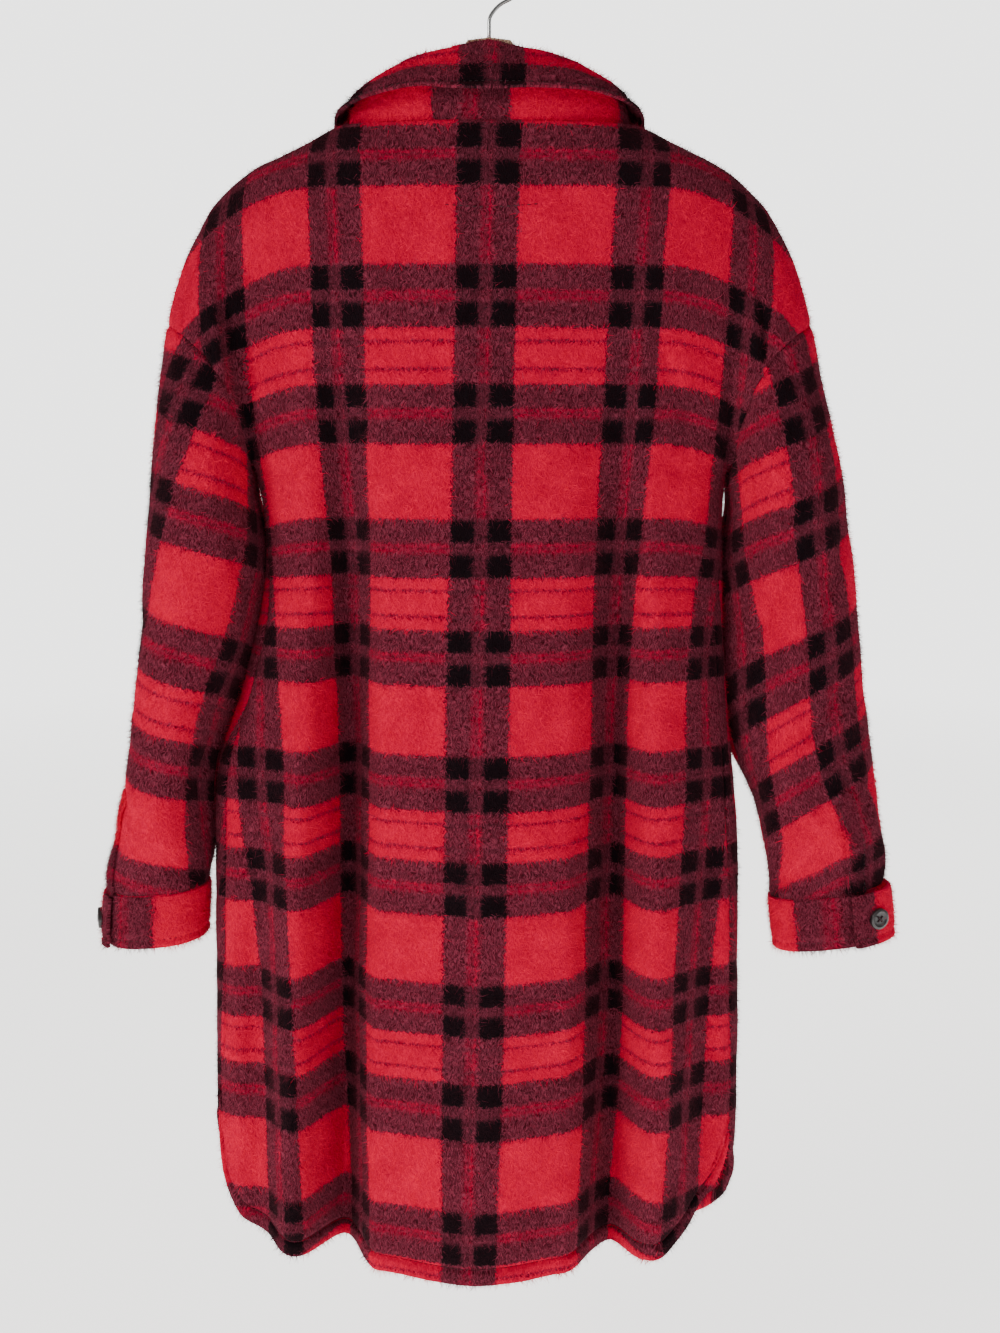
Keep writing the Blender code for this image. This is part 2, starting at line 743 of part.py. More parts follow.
def make_button(name, place, normal, finish):
    made = add_object(name, button_mesh(name), finish)
    made.location = Vector(place) * MM
    made.rotation_mode = "QUATERNION"
    made.rotation_quaternion = Vector(normal).to_track_quat("Z", "Y")


def make_cuff_button(side, finish):
    share = 1 - CUFF_BUTTON_INSET / (cuff_around(side) + CUFF_LAP)
    place = cuff_path(side, share) + cuff_down(side) / 2
    ahead = cuff_path(side, share + 0.01) - cuff_path(side, share - 0.01)
    normal = unit(np.cross(ahead, (0, 0, 1.0))) * (1 if side == "l" else -1)
    name = "cuff_button_left" if side == "l" else "cuff_button_right"
    make_button(name, place + normal * CUFF_BUTTON_SEAT, normal, finish)


def front_point(x, z):
    """Outer face of the fronts near the middle, at x measured from the hanging centre line."""
    across = centre(z) + x
    if z > UNDERARM:
        return yoke_point(across, z, False)
    return np.array((across, -body_depth(across, z, False), z))


def front_facing(x, z):
    across = front_point(x + 1, z) - front_point(x - 1, z)
    down = front_point(x, z - 1) - front_point(x, z + 1)
    return unit(np.cross(down, across))


def make_band(finish):
    outer, inner = [], []
    for x in np.linspace(-BAND_WIDTH / 2, BAND_WIDTH / 2, 5):
        column, column_in = [], []
        for z in np.linspace(NECK_FRONT - BAND_DROP, HEM_FRONT, BAND_ROWS):
            point, normal = front_point(x, z), front_facing(x, z)
            column_in.append(point + normal * BAND_LIFT)
            column.append(point + normal * (BAND_LIFT + BAND_WALL))
        outer.append(column)
        inner.append(column_in)
    cloth_piece("front_band", np.array(outer), np.array(inner), finish)


def make_front_buttons(finish):
    for i in range(FRONT_BUTTONS):
        z = NECK_FRONT - FIRST_BUTTON - i * BUTTON_PITCH
        normal = front_facing(0, z)
        place = front_point(0, z) + normal * (BAND_LIFT + BAND_WALL + BUTTON_SEAT)
        make_button(f"front_button_{i + 1}", place, normal, finish)


# Collar: rails from the centre back (share 0) round the shoulder (0.5) to the centre front (1).
# Each is measured from the neck seam: out from the neck, up, and back along the seam.
# Their first column is that share, which takes the place of a height in the tables above.
STAND_TOP = table(
    "z out up back",
    (0.00, -1, 35, 0),
    (0.25, -2, 32, 0),
    (0.50, -4, 13, 0),
    (0.75, 4, 14, 0),
    (1.00, 7, 15, 2))
FOLD = table(
    "z out up back",
    (0.00, -1, 57, 0),
    (0.25, -4, 48, 0),
    (0.50, -6, 22, 0),
    (0.75, 9, 28, 0),
    (1.00, 15, 24, 8))
LEAF_EDGE = table(
    "z out up back",
    (0.00, 15, 19, 0),
    (0.25, 15, 18, 0),
    (0.50, 8, 4, 0),
    (0.75, 30, -9, 26),
    (1.00, 22, -44, 72))
COLLAR_CELLS = 2 * NECK_CELLS
STAND_SEAT = 0.6            # of the stand above the neck seam
STAND_INSET = 2.0           # of its front ends from the middle
LEAF_SEAT = 2.2             # of the leaf above the stand
LEAF_BELLY = 2.0            # how far the leaf bulges between its fold and its edge
# The leaf's fold, from inside to outside: out and up from its rail
FOLD_STEPS = ((-4.0, -5.0), (-1.8, -0.8), (2.6, -0.8), (5.0, -5.0))
UP = np.array((0.0, 0.0, 1.0))


def neck_loop(share):
    """The neck seam from the centre back to the centre front, on the left side."""
    if share < 0.5:
        return along(shoulder_line(True, "l")[0], share * 2)
    return along(shoulder_line(False, "l")[0], 2 - share * 2)


def outward(share):
    """Level direction away from the neck at a share of the collar's length."""
    if share in (0, 1):
        return np.array((0.0, 1.0 - 2.0 * share, 0.0))
    span = 0.12
    ahead = neck_loop(min(share + span, 1)) - neck_loop(max(share - span, 0))
    return unit(np.array((-ahead[1], ahead[0], 0.0)))


def rail(rows, share):
    """A point of one of the collar's rails."""
    out = outward(share)
    back = np.array((-out[1], out[0], 0.0))
    return (neck_loop(share) + out * read(rows, "out", share) + back * read(rows, "back", share)
            + UP * read(rows, "up", share))


def mirrored(grid):
    flipped = grid[:0:-1].copy()
    flipped[:, :, 0] *= -1
    return np.concatenate((flipped, grid))


def make_stand(finish):
    outer, inner = [], []
    for i in range(COLLAR_CELLS + 1):
        share = i / COLLAR_CELLS
        foot = neck_loop(share) + UP * STAND_SEAT
        head = rail(STAND_TOP, share)
        out = outward(share)
        if i == COLLAR_CELLS:
            foot = foot + np.array((STAND_INSET, 0, 0))
        outer.append([head, (foot + head) / 2, foot])
        inner.append([p - out * WALL for p in outer[-1]])
    cloth_piece("collar_stand", mirrored(np.array(outer)), mirrored(np.array(inner)), finish)


def leaf_section(share):
    """Middle line of the leaf's section, from its seam on the stand over the fold to its edge."""
    foot, fold, edge = rail(STAND_TOP, share), rail(FOLD, share), rail(LEAF_EDGE, share)
    out = outward(share)
    foot = foot - out * WALL / 2 + UP * LEAF_SEAT
    over = [fold + out * step_out + UP * step_up for step_out, step_up in FOLD_STEPS]
    belly = (over[-1] + edge) / 2 + out * LEAF_BELLY
    return [foot, (foot + over[0]) / 2, *over, belly, edge]


def make_leaf(finish):
    middle = np.array([leaf_section(i / COLLAR_CELLS) for i in range(COLLAR_CELLS + 1)])
    middle = mirrored(middle)
    across = np.gradient(middle, axis=0)
    down = np.gradient(middle, axis=1)
    normal = np.cross(across, down)
    normal /= np.linalg.norm(normal, axis=2, keepdims=True)
    cloth_piece("collar_leaf", middle + normal * WALL / 2, middle - normal * WALL / 2, finish)


def make_pocket(side, finish):
    """Facing behind the slit in a side seam, just inside the panels."""
    sign = 1 if side == "l" else -1
    outer, inner = [], []
    for offset in np.linspace(-POCKET_REACH, POCKET_REACH, 5):
        column, column_in = [], []
        for z in np.linspace(POCKET_TOP, POCKET_TOP - POCKET_LENGTH, 9):
            back = body_ring(z, True, side)
            front = body_ring(z, False, side)
            path = np.vstack((back, front[-2::-1]))
            lengths = arc_lengths(path)
            seam = lengths[len(back) - 1]
            place = along(path, (seam + offset) / lengths[-1])
            ahead = (along(path, (seam + offset + 1) / lengths[-1])
                     - along(path, (seam + offset - 1) / lengths[-1]))
            normal = sign * unit(np.array((-ahead[1], ahead[0], 0.0)))
            column.append(place - normal * (WALL + POCKET_CLEAR))
            column_in.append(place - normal * (2 * WALL + POCKET_CLEAR))
        outer.append(column)
        inner.append(column_in)
    name = "pocket_left" if side == "l" else "pocket_right"
    cloth_piece(name, np.array(outer), np.array(inner), finish)


# Hanger: half of its outline, from the top of its neck out to the tip and back underneath
HANGER_TOP = [(0, -62.5), (17, -64.5), (30, -82), (58, -106), (86, -124), (106, -133.0),
              (120, -137.6), (151, -150.6), (184, -166.1), (205, -182.6), (216, -196.1)]
HANGER_FOOT = [(221, -206), (216, -216), (198, -204), (160, -184), (110, -163), (50, -142), (0, -136)]


def make_hanger(finish):
    half = HANGER_TOP + HANGER_FOOT
    points = half + [(-x, z) for x, z in half[-2:0:-1]]
    curve = bpy.data.curves.new("hanger_outline", "CURVE")
    curve.dimensions = "2D"
    curve.fill_mode = "BOTH"
    curve.extrude = (HANGER_THICK / 2 - HANGER_ROUND) * MM
    curve.bevel_depth = HANGER_ROUND * MM
    curve.bevel_resolution = 1
    curve.offset = -HANGER_ROUND * MM
    line = curve.splines.new("POLY")
    line.points.add(len(points) - 1)
    for point, (x, z) in zip(line.points, points):
        point.co = (x * MM, z * MM, 0, 1)
    line.use_cyclic_u = True
    outline_object = bpy.data.objects.new("hanger_outline", curve)
    outline_object.rotation_euler = (math.pi / 2, 0, 0)
    garment.objects.link(outline_object)
    bpy.context.view_layer.update()
    evaluated = outline_object.evaluated_get(bpy.context.evaluated_depsgraph_get())
    data = bpy.data.meshes.new_from_object(evaluated)
    data.name = "hanger_bar"
    bm = bmesh.new()
    bm.from_mesh(data)
    bmesh.ops.remove_doubles(bm, verts=bm.verts, dist=0.00001)
    bmesh.ops.recalc_face_normals(bm, faces=bm.faces)
    bm.to_mesh(data)
    bm.free()
    bar = add_object("hanger_bar", data, finish)
    bar.matrix_world = outline_object.matrix_world
    bpy.data.objects.remove(outline_object)
    bpy.ops.mesh.primitive_cylinder_add(
        vertices=16, radius=(HOOK_WIRE / 2 + SEAM_GAP) * MM, depth=2 * BORE_DEPTH * MM,
        location=(0, 0, HANGER_TOP[0][1] * MM))
    bore = bpy.context.active_object
    bore.name = "hook_bore"
    bore.hide_render = True
    bore.display_type = "WIRE"
    bpy.context.collection.objects.unlink(bore)
    cutters.objects.link(bore)
    cut = bar.modifiers.new("bore", "BOOLEAN")
    cut.object = bore
    cut.solver = "EXACT"


def hook_points():
    """Middle line of the hook: up out of the bar, out to -X and over the top to its tip."""
    reach = HOOK_RADIUS + HOOK_WIRE / 2
    points = [(0, z) for z in (HANGER_TOP[0][1] - BORE_DEPTH + SEAM_GAP, -60, -54, -49)]
    points += [(-1.0, -45), (-4.5, -40.5), (-9.5, -35.8)]
    points += [(reach * math.cos(math.radians(a)), -HOOK_RADIUS + reach * math.sin(math.radians(a)))
               for a in range(215, -31, -12)]
    return points


def make_hook(finish):
    curve = bpy.data.curves.new("hanger_hook", "CURVE")
    curve.dimensions = "3D"
    curve.bevel_depth = HOOK_WIRE / 2 * MM
    curve.bevel_resolution = 2
    curve.use_fill_caps = True
    points = hook_points()
    line = curve.splines.new("POLY")
    line.points.add(len(points) - 1)
    for point, (x, z) in zip(line.points, points):
        point.co = (x * MM, 0, z * MM, 1)
    add_object("hanger_hook", curve, finish)


for old in list(bpy.data.objects):
    bpy.data.objects.remove(old)
garment = bpy.data.collections.new("shirt_jacket_on_hanger")
cutters = bpy.data.collections.new("cutters")
bpy.context.scene.collection.children.link(garment)
bpy.context.scene.collection.children.link(cutters)

wool = material("brushed_wool", (0.30, 0.012, 0.035), 0.95)
horn = material("dark_horn", (0.045, 0.035, 0.04), 0.35)
wood = material("pale_wood", (0.72, 0.52, 0.36), 0.5)
steel = material("bright_steel", (0.62, 0.62, 0.62), 0.25, 1.0)

make_back(wool)
for which in ("l", "r"):
    make_front(which, wool)
    make_sleeve(which, wool)
    make_cuff(which, wool)
    make_placket(which, wool)
    make_pocket(which, wool)
    make_cuff_button(which, horn)
make_band(wool)
make_front_buttons(horn)
make_stand(wool)
make_leaf(wool)
make_hanger(wood)
make_hook(steel)
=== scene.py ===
import math
import bpy
import numpy as np
from mathutils import Matrix, Vector, noise


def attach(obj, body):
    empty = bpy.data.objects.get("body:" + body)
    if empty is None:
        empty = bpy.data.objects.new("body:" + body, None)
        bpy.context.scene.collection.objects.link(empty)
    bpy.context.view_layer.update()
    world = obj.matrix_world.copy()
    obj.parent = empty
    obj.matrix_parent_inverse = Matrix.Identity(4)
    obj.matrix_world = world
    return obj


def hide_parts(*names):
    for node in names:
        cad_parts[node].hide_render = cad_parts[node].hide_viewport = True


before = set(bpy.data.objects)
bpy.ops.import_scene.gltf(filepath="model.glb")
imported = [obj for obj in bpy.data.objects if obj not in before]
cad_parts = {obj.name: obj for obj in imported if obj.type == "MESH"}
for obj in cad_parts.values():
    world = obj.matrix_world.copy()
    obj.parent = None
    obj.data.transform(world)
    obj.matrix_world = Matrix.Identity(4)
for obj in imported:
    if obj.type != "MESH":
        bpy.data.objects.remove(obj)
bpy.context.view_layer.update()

# Looks of a long shirt jacket in brushed plaid wool, hung on its wooden hanger.
# Sizes are in millimetres until a mesh is made. The back faces +Y, the wearer's left is +X.
mm = 0.001
uvUnit = 100.0      # millimetres to one unit of the plaid's UV map


sideName = {"l": "left", "r": "right"}


def table(columns, *rows):
    data = np.array(sorted(rows), float)
    return {name: data[:, i] for i, name in enumerate(columns.split())}


def read(rows, column, at):
    # a smooth curve through a column, over the table's first column
    zs, values = rows[next(iter(rows))], rows[column]
    z = np.clip(at, zs[0], zs[-1])
    slopes = np.gradient(values, zs)
    i = np.clip(np.searchsorted(zs, z) - 1, 0, len(zs) - 2)
    h = zs[i + 1] - zs[i]
    t = (z - zs[i]) / h
    return (values[i] * (1 + 2 * t) * (1 - t) ** 2 + h * slopes[i] * t * (1 - t) ** 2
            + values[i + 1] * t * t * (3 - 2 * t) + h * slopes[i + 1] * t * t * (t - 1))


def smooth(t):
    t = np.clip(t, 0.0, 1.0)
    return t * t * (3 - 2 * t)


def unit(v):
    return v / np.maximum(np.linalg.norm(v, axis=-1, keepdims=True), 1e-9)


def arcLengths(points):
    steps = np.linalg.norm(np.diff(points, axis=0), axis=1)
    return np.concatenate(([0.0], np.cumsum(steps)))


def along(points, shares):
    lengths = arcLengths(points)
    at = np.asarray(shares) * lengths[-1]
    return np.stack([np.interp(at, lengths, points[:, i]) for i in range(points.shape[1])], axis=-1)


# the hanging shape: the same ovals, heights and folds as the solids
shape = {"neckBack": -133.5, "neckShoulder": -130.0, "neckFront": -195.0, "neckHalf": 114.0,
         "neckShare": 6 / 16, "underarm": -405.0, "capFoot": -480.0, "hemBack": -1086.0,
         "hemFront": -1105.0, "hemRise": {"l": 131.0, "r": 101.0},
         "hemClimb": {"l": (0.25, 20), "r": (0.18, 10)}, "lean": 20.0, "seamTurn": 18.0,
         "seamSettle": 130.0, "seamBack": {"l": 15.0, "r": 3.0}, "round": 2.2, "roundSleeve": 2.5}
body = table(
    "z l r back front",
    (-129, 110, 110, 42, 46), (-130, 114, 114, 44, 48), (-145, 151, 151, 49, 53),
    (-160, 184, 184, 52, 57), (-178, 208, 208, 55, 60), (-194, 224, 224, 56, 62),
    (-222, 237, 237, 58, 64), (-253, 241, 241, 60, 66), (-284, 236, 237, 61, 67),
    (-330, 221, 224, 62, 69), (-370, 206, 208, 63, 71), (-405, 193, 196, 64, 73),
    (-475, 186, 194, 64, 76), (-576, 207, 199, 62, 80), (-645, 230, 206, 61, 82),
    (-722, 235, 212, 60, 83), (-860, 239, 216, 58, 84), (-950, 241, 217, 57, 84),
    (-1100, 238, 210, 56, 84))
sleeve = {
    "l": table(
        "z outer inner depth",
        (-194, 224, 200, 0), (-222, 240, 197, 22), (-253, 252, 195, 36), (-284, 260, 193, 46),
        (-330, 268, 192, 56), (-370, 273, 193, 61), (-405, 277, 193, 63), (-440, 281, 190, 63),
        (-480, 286, 190, 61), (-530, 291, 200, 59), (-576, 296, 216, 57), (-610, 301, 229, 55),
        (-645, 307, 241, 53), (-707, 316, 245, 49), (-760, 325, 245, 40)),
    "r": table(
        "z outer inner depth",
        (-194, 224, 200, 0), (-222, 240, 197, 22), (-253, 252, 195, 36), (-284, 260, 193, 46),
        (-330, 270, 193, 56), (-370, 281, 195, 61), (-405, 289, 196, 63), (-440, 294, 199, 62),
        (-480, 301, 202, 59), (-530, 308, 204, 55), (-576, 314, 206, 51), (-610, 319, 211, 49),
        (-645, 324, 219, 47), (-707, 334, 235, 42), (-760, 341, 240, 33))}
armhole = table("x z", (260, -284), (240, -296), (222, -312), (207, -335), (197, -368), (193.5, -405))
cuff = {
    "l": dict(x=284.5, z=-754.0, half=41.5, depth=38.0, tilt=-4.0, slit=40.0, lean=-0.06),
    "r": dict(x=-290.5, z=-757.5, half=49.0, depth=29.0, tilt=8.0, slit=77.0, lean=0.12)}
# hanging folds: x at the top, x at the hem, where one starts, where it is full, reach each way, size
folds = {
    True: [(112, 129, -200, -680, 32, 34, -48), (154, 172, -340, -860, 22, 26, 13),
           (-104, -106, -200, -700, 26, 44, -42), (-138, -143, -370, -860, 26, 18, 12),
           (6, 12, -240, -760, 92, 88, 16), (196, 200, -520, -860, 22, 22, -8),
           (-186, -184, -520, -860, 20, 22, -8)],
    False: [(96, 112, -280, -860, 38, 36, -34), (150, 160, -420, -900, 28, 30, 8),
            (-100, -108, -280, -860, 36, 40, -32), (-150, -152, -420, -900, 30, 26, 8)]}


def oval(t):
    return np.maximum(0.0, 1.0 - np.abs(t) ** shape["round"]) ** (1 / shape["round"])


def foldDepth(x, z, back, half):
    total = np.zeros(np.broadcast(x, z).shape)
    for xTop, xHem, top, full, right, left, size in folds[back]:
        fall = smooth((shape["underarm"] - z) / (shape["underarm"] - shape["hemBack"]))
        middle = xTop + (xHem - xTop) * fall
        t = (x - middle) / np.where(x > middle, left, right)
        bulge = np.where(np.abs(t) < 1, 0.5 + 0.5 * np.cos(np.pi * t), 0)
        total += size * smooth((top - z) / (top - full)) * bulge
    return total * smooth((1 - np.abs(x) / half) / 0.12)


def yokeDepth(x, z, back, side):
    half = np.where(x > 0, read(body, "l", z), read(body, "r", z))
    hang = read(body, "back" if back else "front", z) * oval(x / half) + foldDepth(x, z, back, half)
    rows = sleeve[side]
    outer, inner = read(rows, "outer", z), read(rows, "inner", z)
    arm = read(rows, "depth", z) * oval((np.abs(x) - (outer + inner) / 2) / ((outer - inner) / 2))
    arm = np.where(z > rows["z"][-1], 0.0, arm)
    power = shape["roundSleeve"]
    return (np.maximum(hang, 0) ** power + arm ** power) ** (1 / power)


def outline(z, side):
    rows = sleeve[side]
    return np.where(z < rows["z"][-1], read(rows, "outer", z), read(body, side, z))


def centre(z):
    return shape["lean"] * (shape["neckBack"] - z) / (shape["neckBack"] - shape["hemBack"])


def bodyRing(z, back, side):
    # the body's section at a height, from the middle out to the side seam
    sign = 1 if side == "l" else -1
    half = read(body, side, z)
    turn = shape["seamTurn"] * smooth((shape["underarm"] - z) / shape["seamSettle"])
    turn = math.radians(turn - shape["seamBack"][side] * smooth((-860 - z) / 170))
    angle = np.linspace(math.pi / 2 + 0.3, turn if back else -turn, 220)
    power = 2 / shape["round"]
    x = sign * half * np.copysign(np.abs(np.cos(angle)) ** power, np.cos(angle))
    near = angle > 0
    y = np.zeros(len(angle))
    for face in (True, False):
        pick = near if face else ~near
        isBack = back if face else not back
        deep = read(body, "back" if isBack else "front", z) * np.abs(np.sin(angle)) ** power
        deep = (deep + foldDepth(x, z, isBack, half)) * (1 if isBack else -1)
        y = np.where(pick, deep, y)
    points = np.stack((x, y, np.full(len(x), z)), axis=1)
    first = int(np.argmax(sign * (x - centre(z)) > 0))
    a, b = points[first - 1], points[first]
    middle = a + (b - a) * (centre(z) - a[0]) / (b[0] - a[0])
    return np.vstack((middle, points[first:]))


def hemHeight(share, back, side):
    rise = shape["hemRise"][side]
    if back:
        slow, steep = shape["hemClimb"][side]
        return shape["hemBack"] + rise * (slow * share ** 2 + (1 - slow) * share ** steep)
    return shape["hemFront"] + (rise - (shape["hemFront"] - shape["hemBack"])) * share ** 7


def neckLine(back, side):
    sign = 1 if side == "l" else -1
    x = shape["neckHalf"] * np.sin(np.linspace(0, math.pi / 2, 80))
    lowest = shape["neckBack"] if back else shape["neckFront"]
    z = lowest + (shape["neckShoulder"] - lowest) * (x / shape["neckHalf"]) ** 2
    y = yokeDepth(sign * x, z, back, side) * (1 if back else -1)
    y[-1] = 0
    return np.stack((sign * x, y, z), axis=1)


def armholeLine(back, side):
    sign = 1 if side == "l" else -1
    tipX, tipZ = armhole["x"][-1], armhole["z"][-1]
    share = np.linspace(0, 1, 80)
    x = tipX + (armhole["x"][0] - tipX) * share
    z = np.interp(x, armhole["x"], armhole["z"])
    x = sign * (x + (read(body, side, shape["underarm"]) - armhole["x"][0]) * share)
    y = yokeDepth(x, z, back, side) * (1 if back else -1)
    line = np.stack((x, y, z), axis=1)
    line[0] = (sign * outline(tipZ, side), 0, tipZ)
    line[-1] = (sign * read(body, side, shape["underarm"]), 0, shape["underarm"])
    return line


def coons(top, bottom, start, end, u, w):
    # a patch between four edges: top and bottom run across, start and end run down
    u, w = u[:, None, None], w[None, :, None]
    corners = ((1 - u) * (1 - w) * top[0] + u * (1 - w) * top[-1]
               + (1 - u) * w * bottom[0] + u * w * bottom[-1])
    return (1 - w) * top[:, None] + w * bottom[:, None] + (1 - u) * start[None] + u * end[None] - corners


def panelPoints(back, side, across, down, hemInset):
    # down holds shares of the yoke, 0 to 1, then of the skirt, 1 to 2
    sign, turn = 1 if side == "l" else -1, 1 if back else -1
    neck, tipZ = neckLine(back, side), armhole["z"][-1]
    shoulderZ = np.linspace(shape["neckShoulder"], tipZ, 80)
    shoulder = np.stack((sign * outline(shoulderZ, side), 0 * shoulderZ, shoulderZ), axis=1)
    onNeck = across <= shape["neckShare"]
    top = np.vstack((along(neck, across[onNeck] / shape["neckShare"]),
                     along(shoulder, (across[~onNeck] - shape["neckShare"]) / (1 - shape["neckShare"]))))
    upper, lower = down[down < 1], down[down >= 1]
    ring = bodyRing(shape["underarm"], back, side)
    bottom = ring[0] + (ring[-1] - ring[0]) * across[:, None]
    startZ = neck[0][2] + (shape["underarm"] - neck[0][2]) * upper
    start = np.stack((centre(startZ) * upper, 0 * startZ, startZ), axis=1)
    end = along(armholeLine(back, side), upper)
    yoke = coons(top, bottom, start, end, across, upper)
    yoke[..., 1] = yokeDepth(yoke[..., 0], yoke[..., 2], back, side) * turn
    yoke[-1] = end
    yoke[:, 0] = top
    heights = np.linspace(shape["underarm"], shape["hemFront"] - 5, 190)
    rings = np.array([along(bodyRing(z, back, side), across) for z in heights])
    skirt = np.zeros((len(across), len(lower), 3))
    for i, share in enumerate(across):
        z = shape["underarm"] + (hemHeight(share, back, side) - shape["underarm"]) * (lower - 1)
        z = np.where(hemInset > 0, hemHeight(share, back, side) + hemInset, z)
        skirt[i, :, 2] = z
        for axis in (0, 1):
            skirt[i, :, axis] = np.interp(-z, -heights, rings[:, i, axis])
    return np.concatenate((yoke, skirt), axis=1)


def gridNormals(grid, hint):
    # outward normals of a grid; hint is a vector, or one for each point, that points roughly outwards
    normals = unit(np.cross(np.gradient(grid, axis=0), np.gradient(grid, axis=1)))
    return normals * np.sign(np.sum(normals * hint))


def uneven(points, scale, seed):
    shift = Vector((seed * 7.1, seed * 3.7, seed * 1.3))
    flat = points.reshape(-1, 3) / scale
    return np.array([noise.noise(Vector(p) + shift) for p in flat]).reshape(points.shape[:-1])


def strokes(x, z, creases):
    # soft troughs and ridges: each runs from one point to another, with a half width and a size
    total = np.zeros(x.shape)
    for x0, z0, x1, z1, wide, size in creases:
        dx, dz = x1 - x0, z1 - z0
        length = math.hypot(dx, dz)
        run = ((x - x0) * dx + (z - z0) * dz) / length ** 2
        bow = 0.06 * length * np.sin(np.pi * np.clip(run, 0, 1))
        off = ((x - x0) * dz - (z - z0) * dx) / length - bow
        fade = smooth(np.clip(run, 0, 1) / 0.3) * smooth((1 - np.clip(run, 0, 1)) / 0.4)
        total += size * fade * np.exp(-(off / (wide * (0.7 + 0.5 * np.clip(run, 0, 1)))) ** 2)
    return total


# the plaid: how far each yarn goes from red, 0, to black, 1, over one repeat, in millimetres
plaid = {
    "warpRepeat": 125.0, "weftRepeat": 198.5, "blur": 1.6,
    "warp": [(0, 1), (19, 0.66), (21.6, 0.26), (23.2, 0.66), (26.6, 0.4), (27.8, 0.66), (30.5, 1),
             (49.5, 0)],
    "weft": [(0, 1), (18.5, 0.64), (20.6, 0.22), (22.2, 0.62), (25.4, 0.26), (26.8, 0.64), (29, 1),
             (47.5, 0),
             (108, 1), (126.5, 0.64), (128.6, 0.22), (130.2, 0.62), (133.4, 0.26), (134.8, 0.64),
             (137, 1),
             (155.5, 0), (165, 0.5), (168.2, 0), (186, 0.5), (189.8, 0)],
    # from two red yarns, through a red one over a dark one, to two dark ones
    "yarns": [(0.0, (0.560, 0.0001, 0.034)), (0.07, (0.520, 0.0001, 0.032)),
              (0.2, (0.200, 0.0070, 0.026)),
              (0.5, (0.112, 0.0150, 0.028)), (0.85, (0.078, 0.0120, 0.022)),
              (0.95, (0.008, 0.0052, 0.0072)),
              (1.0, (0.0030, 0.0026, 0.0036))]}
# heights of the pairs of dark rows at the back's middle, and where on the plaid each lies
rowZ = np.array([-1200, -1020.4, -905, -819.1, -714.6, -627.6, -526.1, -438.4, -333.4, -242.8, -136.9,
                 -40])
rowT = np.array([1080, 902, 794, 703.5, 595.5, 505, 397, 306.5, 198.5, 108, 0, -99])
# lengths along the cloth from its middle to the warp groups at 125 and 250, on each side
groups = table(
    "z l1 l2 r1 r2",
    (-130, 125, 217, 127, 217), (-265, 118, 210, 120, 210), (-355, 118, 212, 120, 212),
    (-464, 122, 222, 123, 222), (-556, 129, 232, 129, 226), (-660, 129, 244, 134, 247),
    (-760, 128, 238, 135, 247), (-860, 126, 233, 137, 244), (-1036, 113, 225, 126, 240))


def weftAt(x, z):
    droop = 0.0044 * np.maximum(np.abs(x) - 135, 0) ** 2 * smooth((z + 560) / 150)
    return np.interp(z + droop, rowZ, rowT)


def panelPlaid(points, back, side, across):
    x, z = points[..., 0], points[..., 2]
    sign = 1 if side == "l" else -1
    steps = np.linspace(0, 1, 40)
    xs = x[..., None] * steps
    depth = yokeDepth(xs, z[..., None] + 0 * xs, back, side)
    arc = np.sum(np.hypot(np.diff(xs, axis=-1), np.diff(depth, axis=-1)), axis=-1) - sign * centre(z)
    heights = np.linspace(shape["underarm"], shape["hemFront"] - 5, 60)
    total = np.array([arcLengths(bodyRing(h, back, side))[-1] for h in heights])
    arc = np.where(z > shape["underarm"], arc, across[:, None] * np.interp(-z, -heights, total))
    first, second = read(groups, side + "1", z), read(groups, side + "2", z)
    s = np.where(arc < first, 125 * arc / first, 125 + 125 * (arc - first) / (second - first))
    return np.stack((sign * s, weftAt(x, z)), axis=-1)


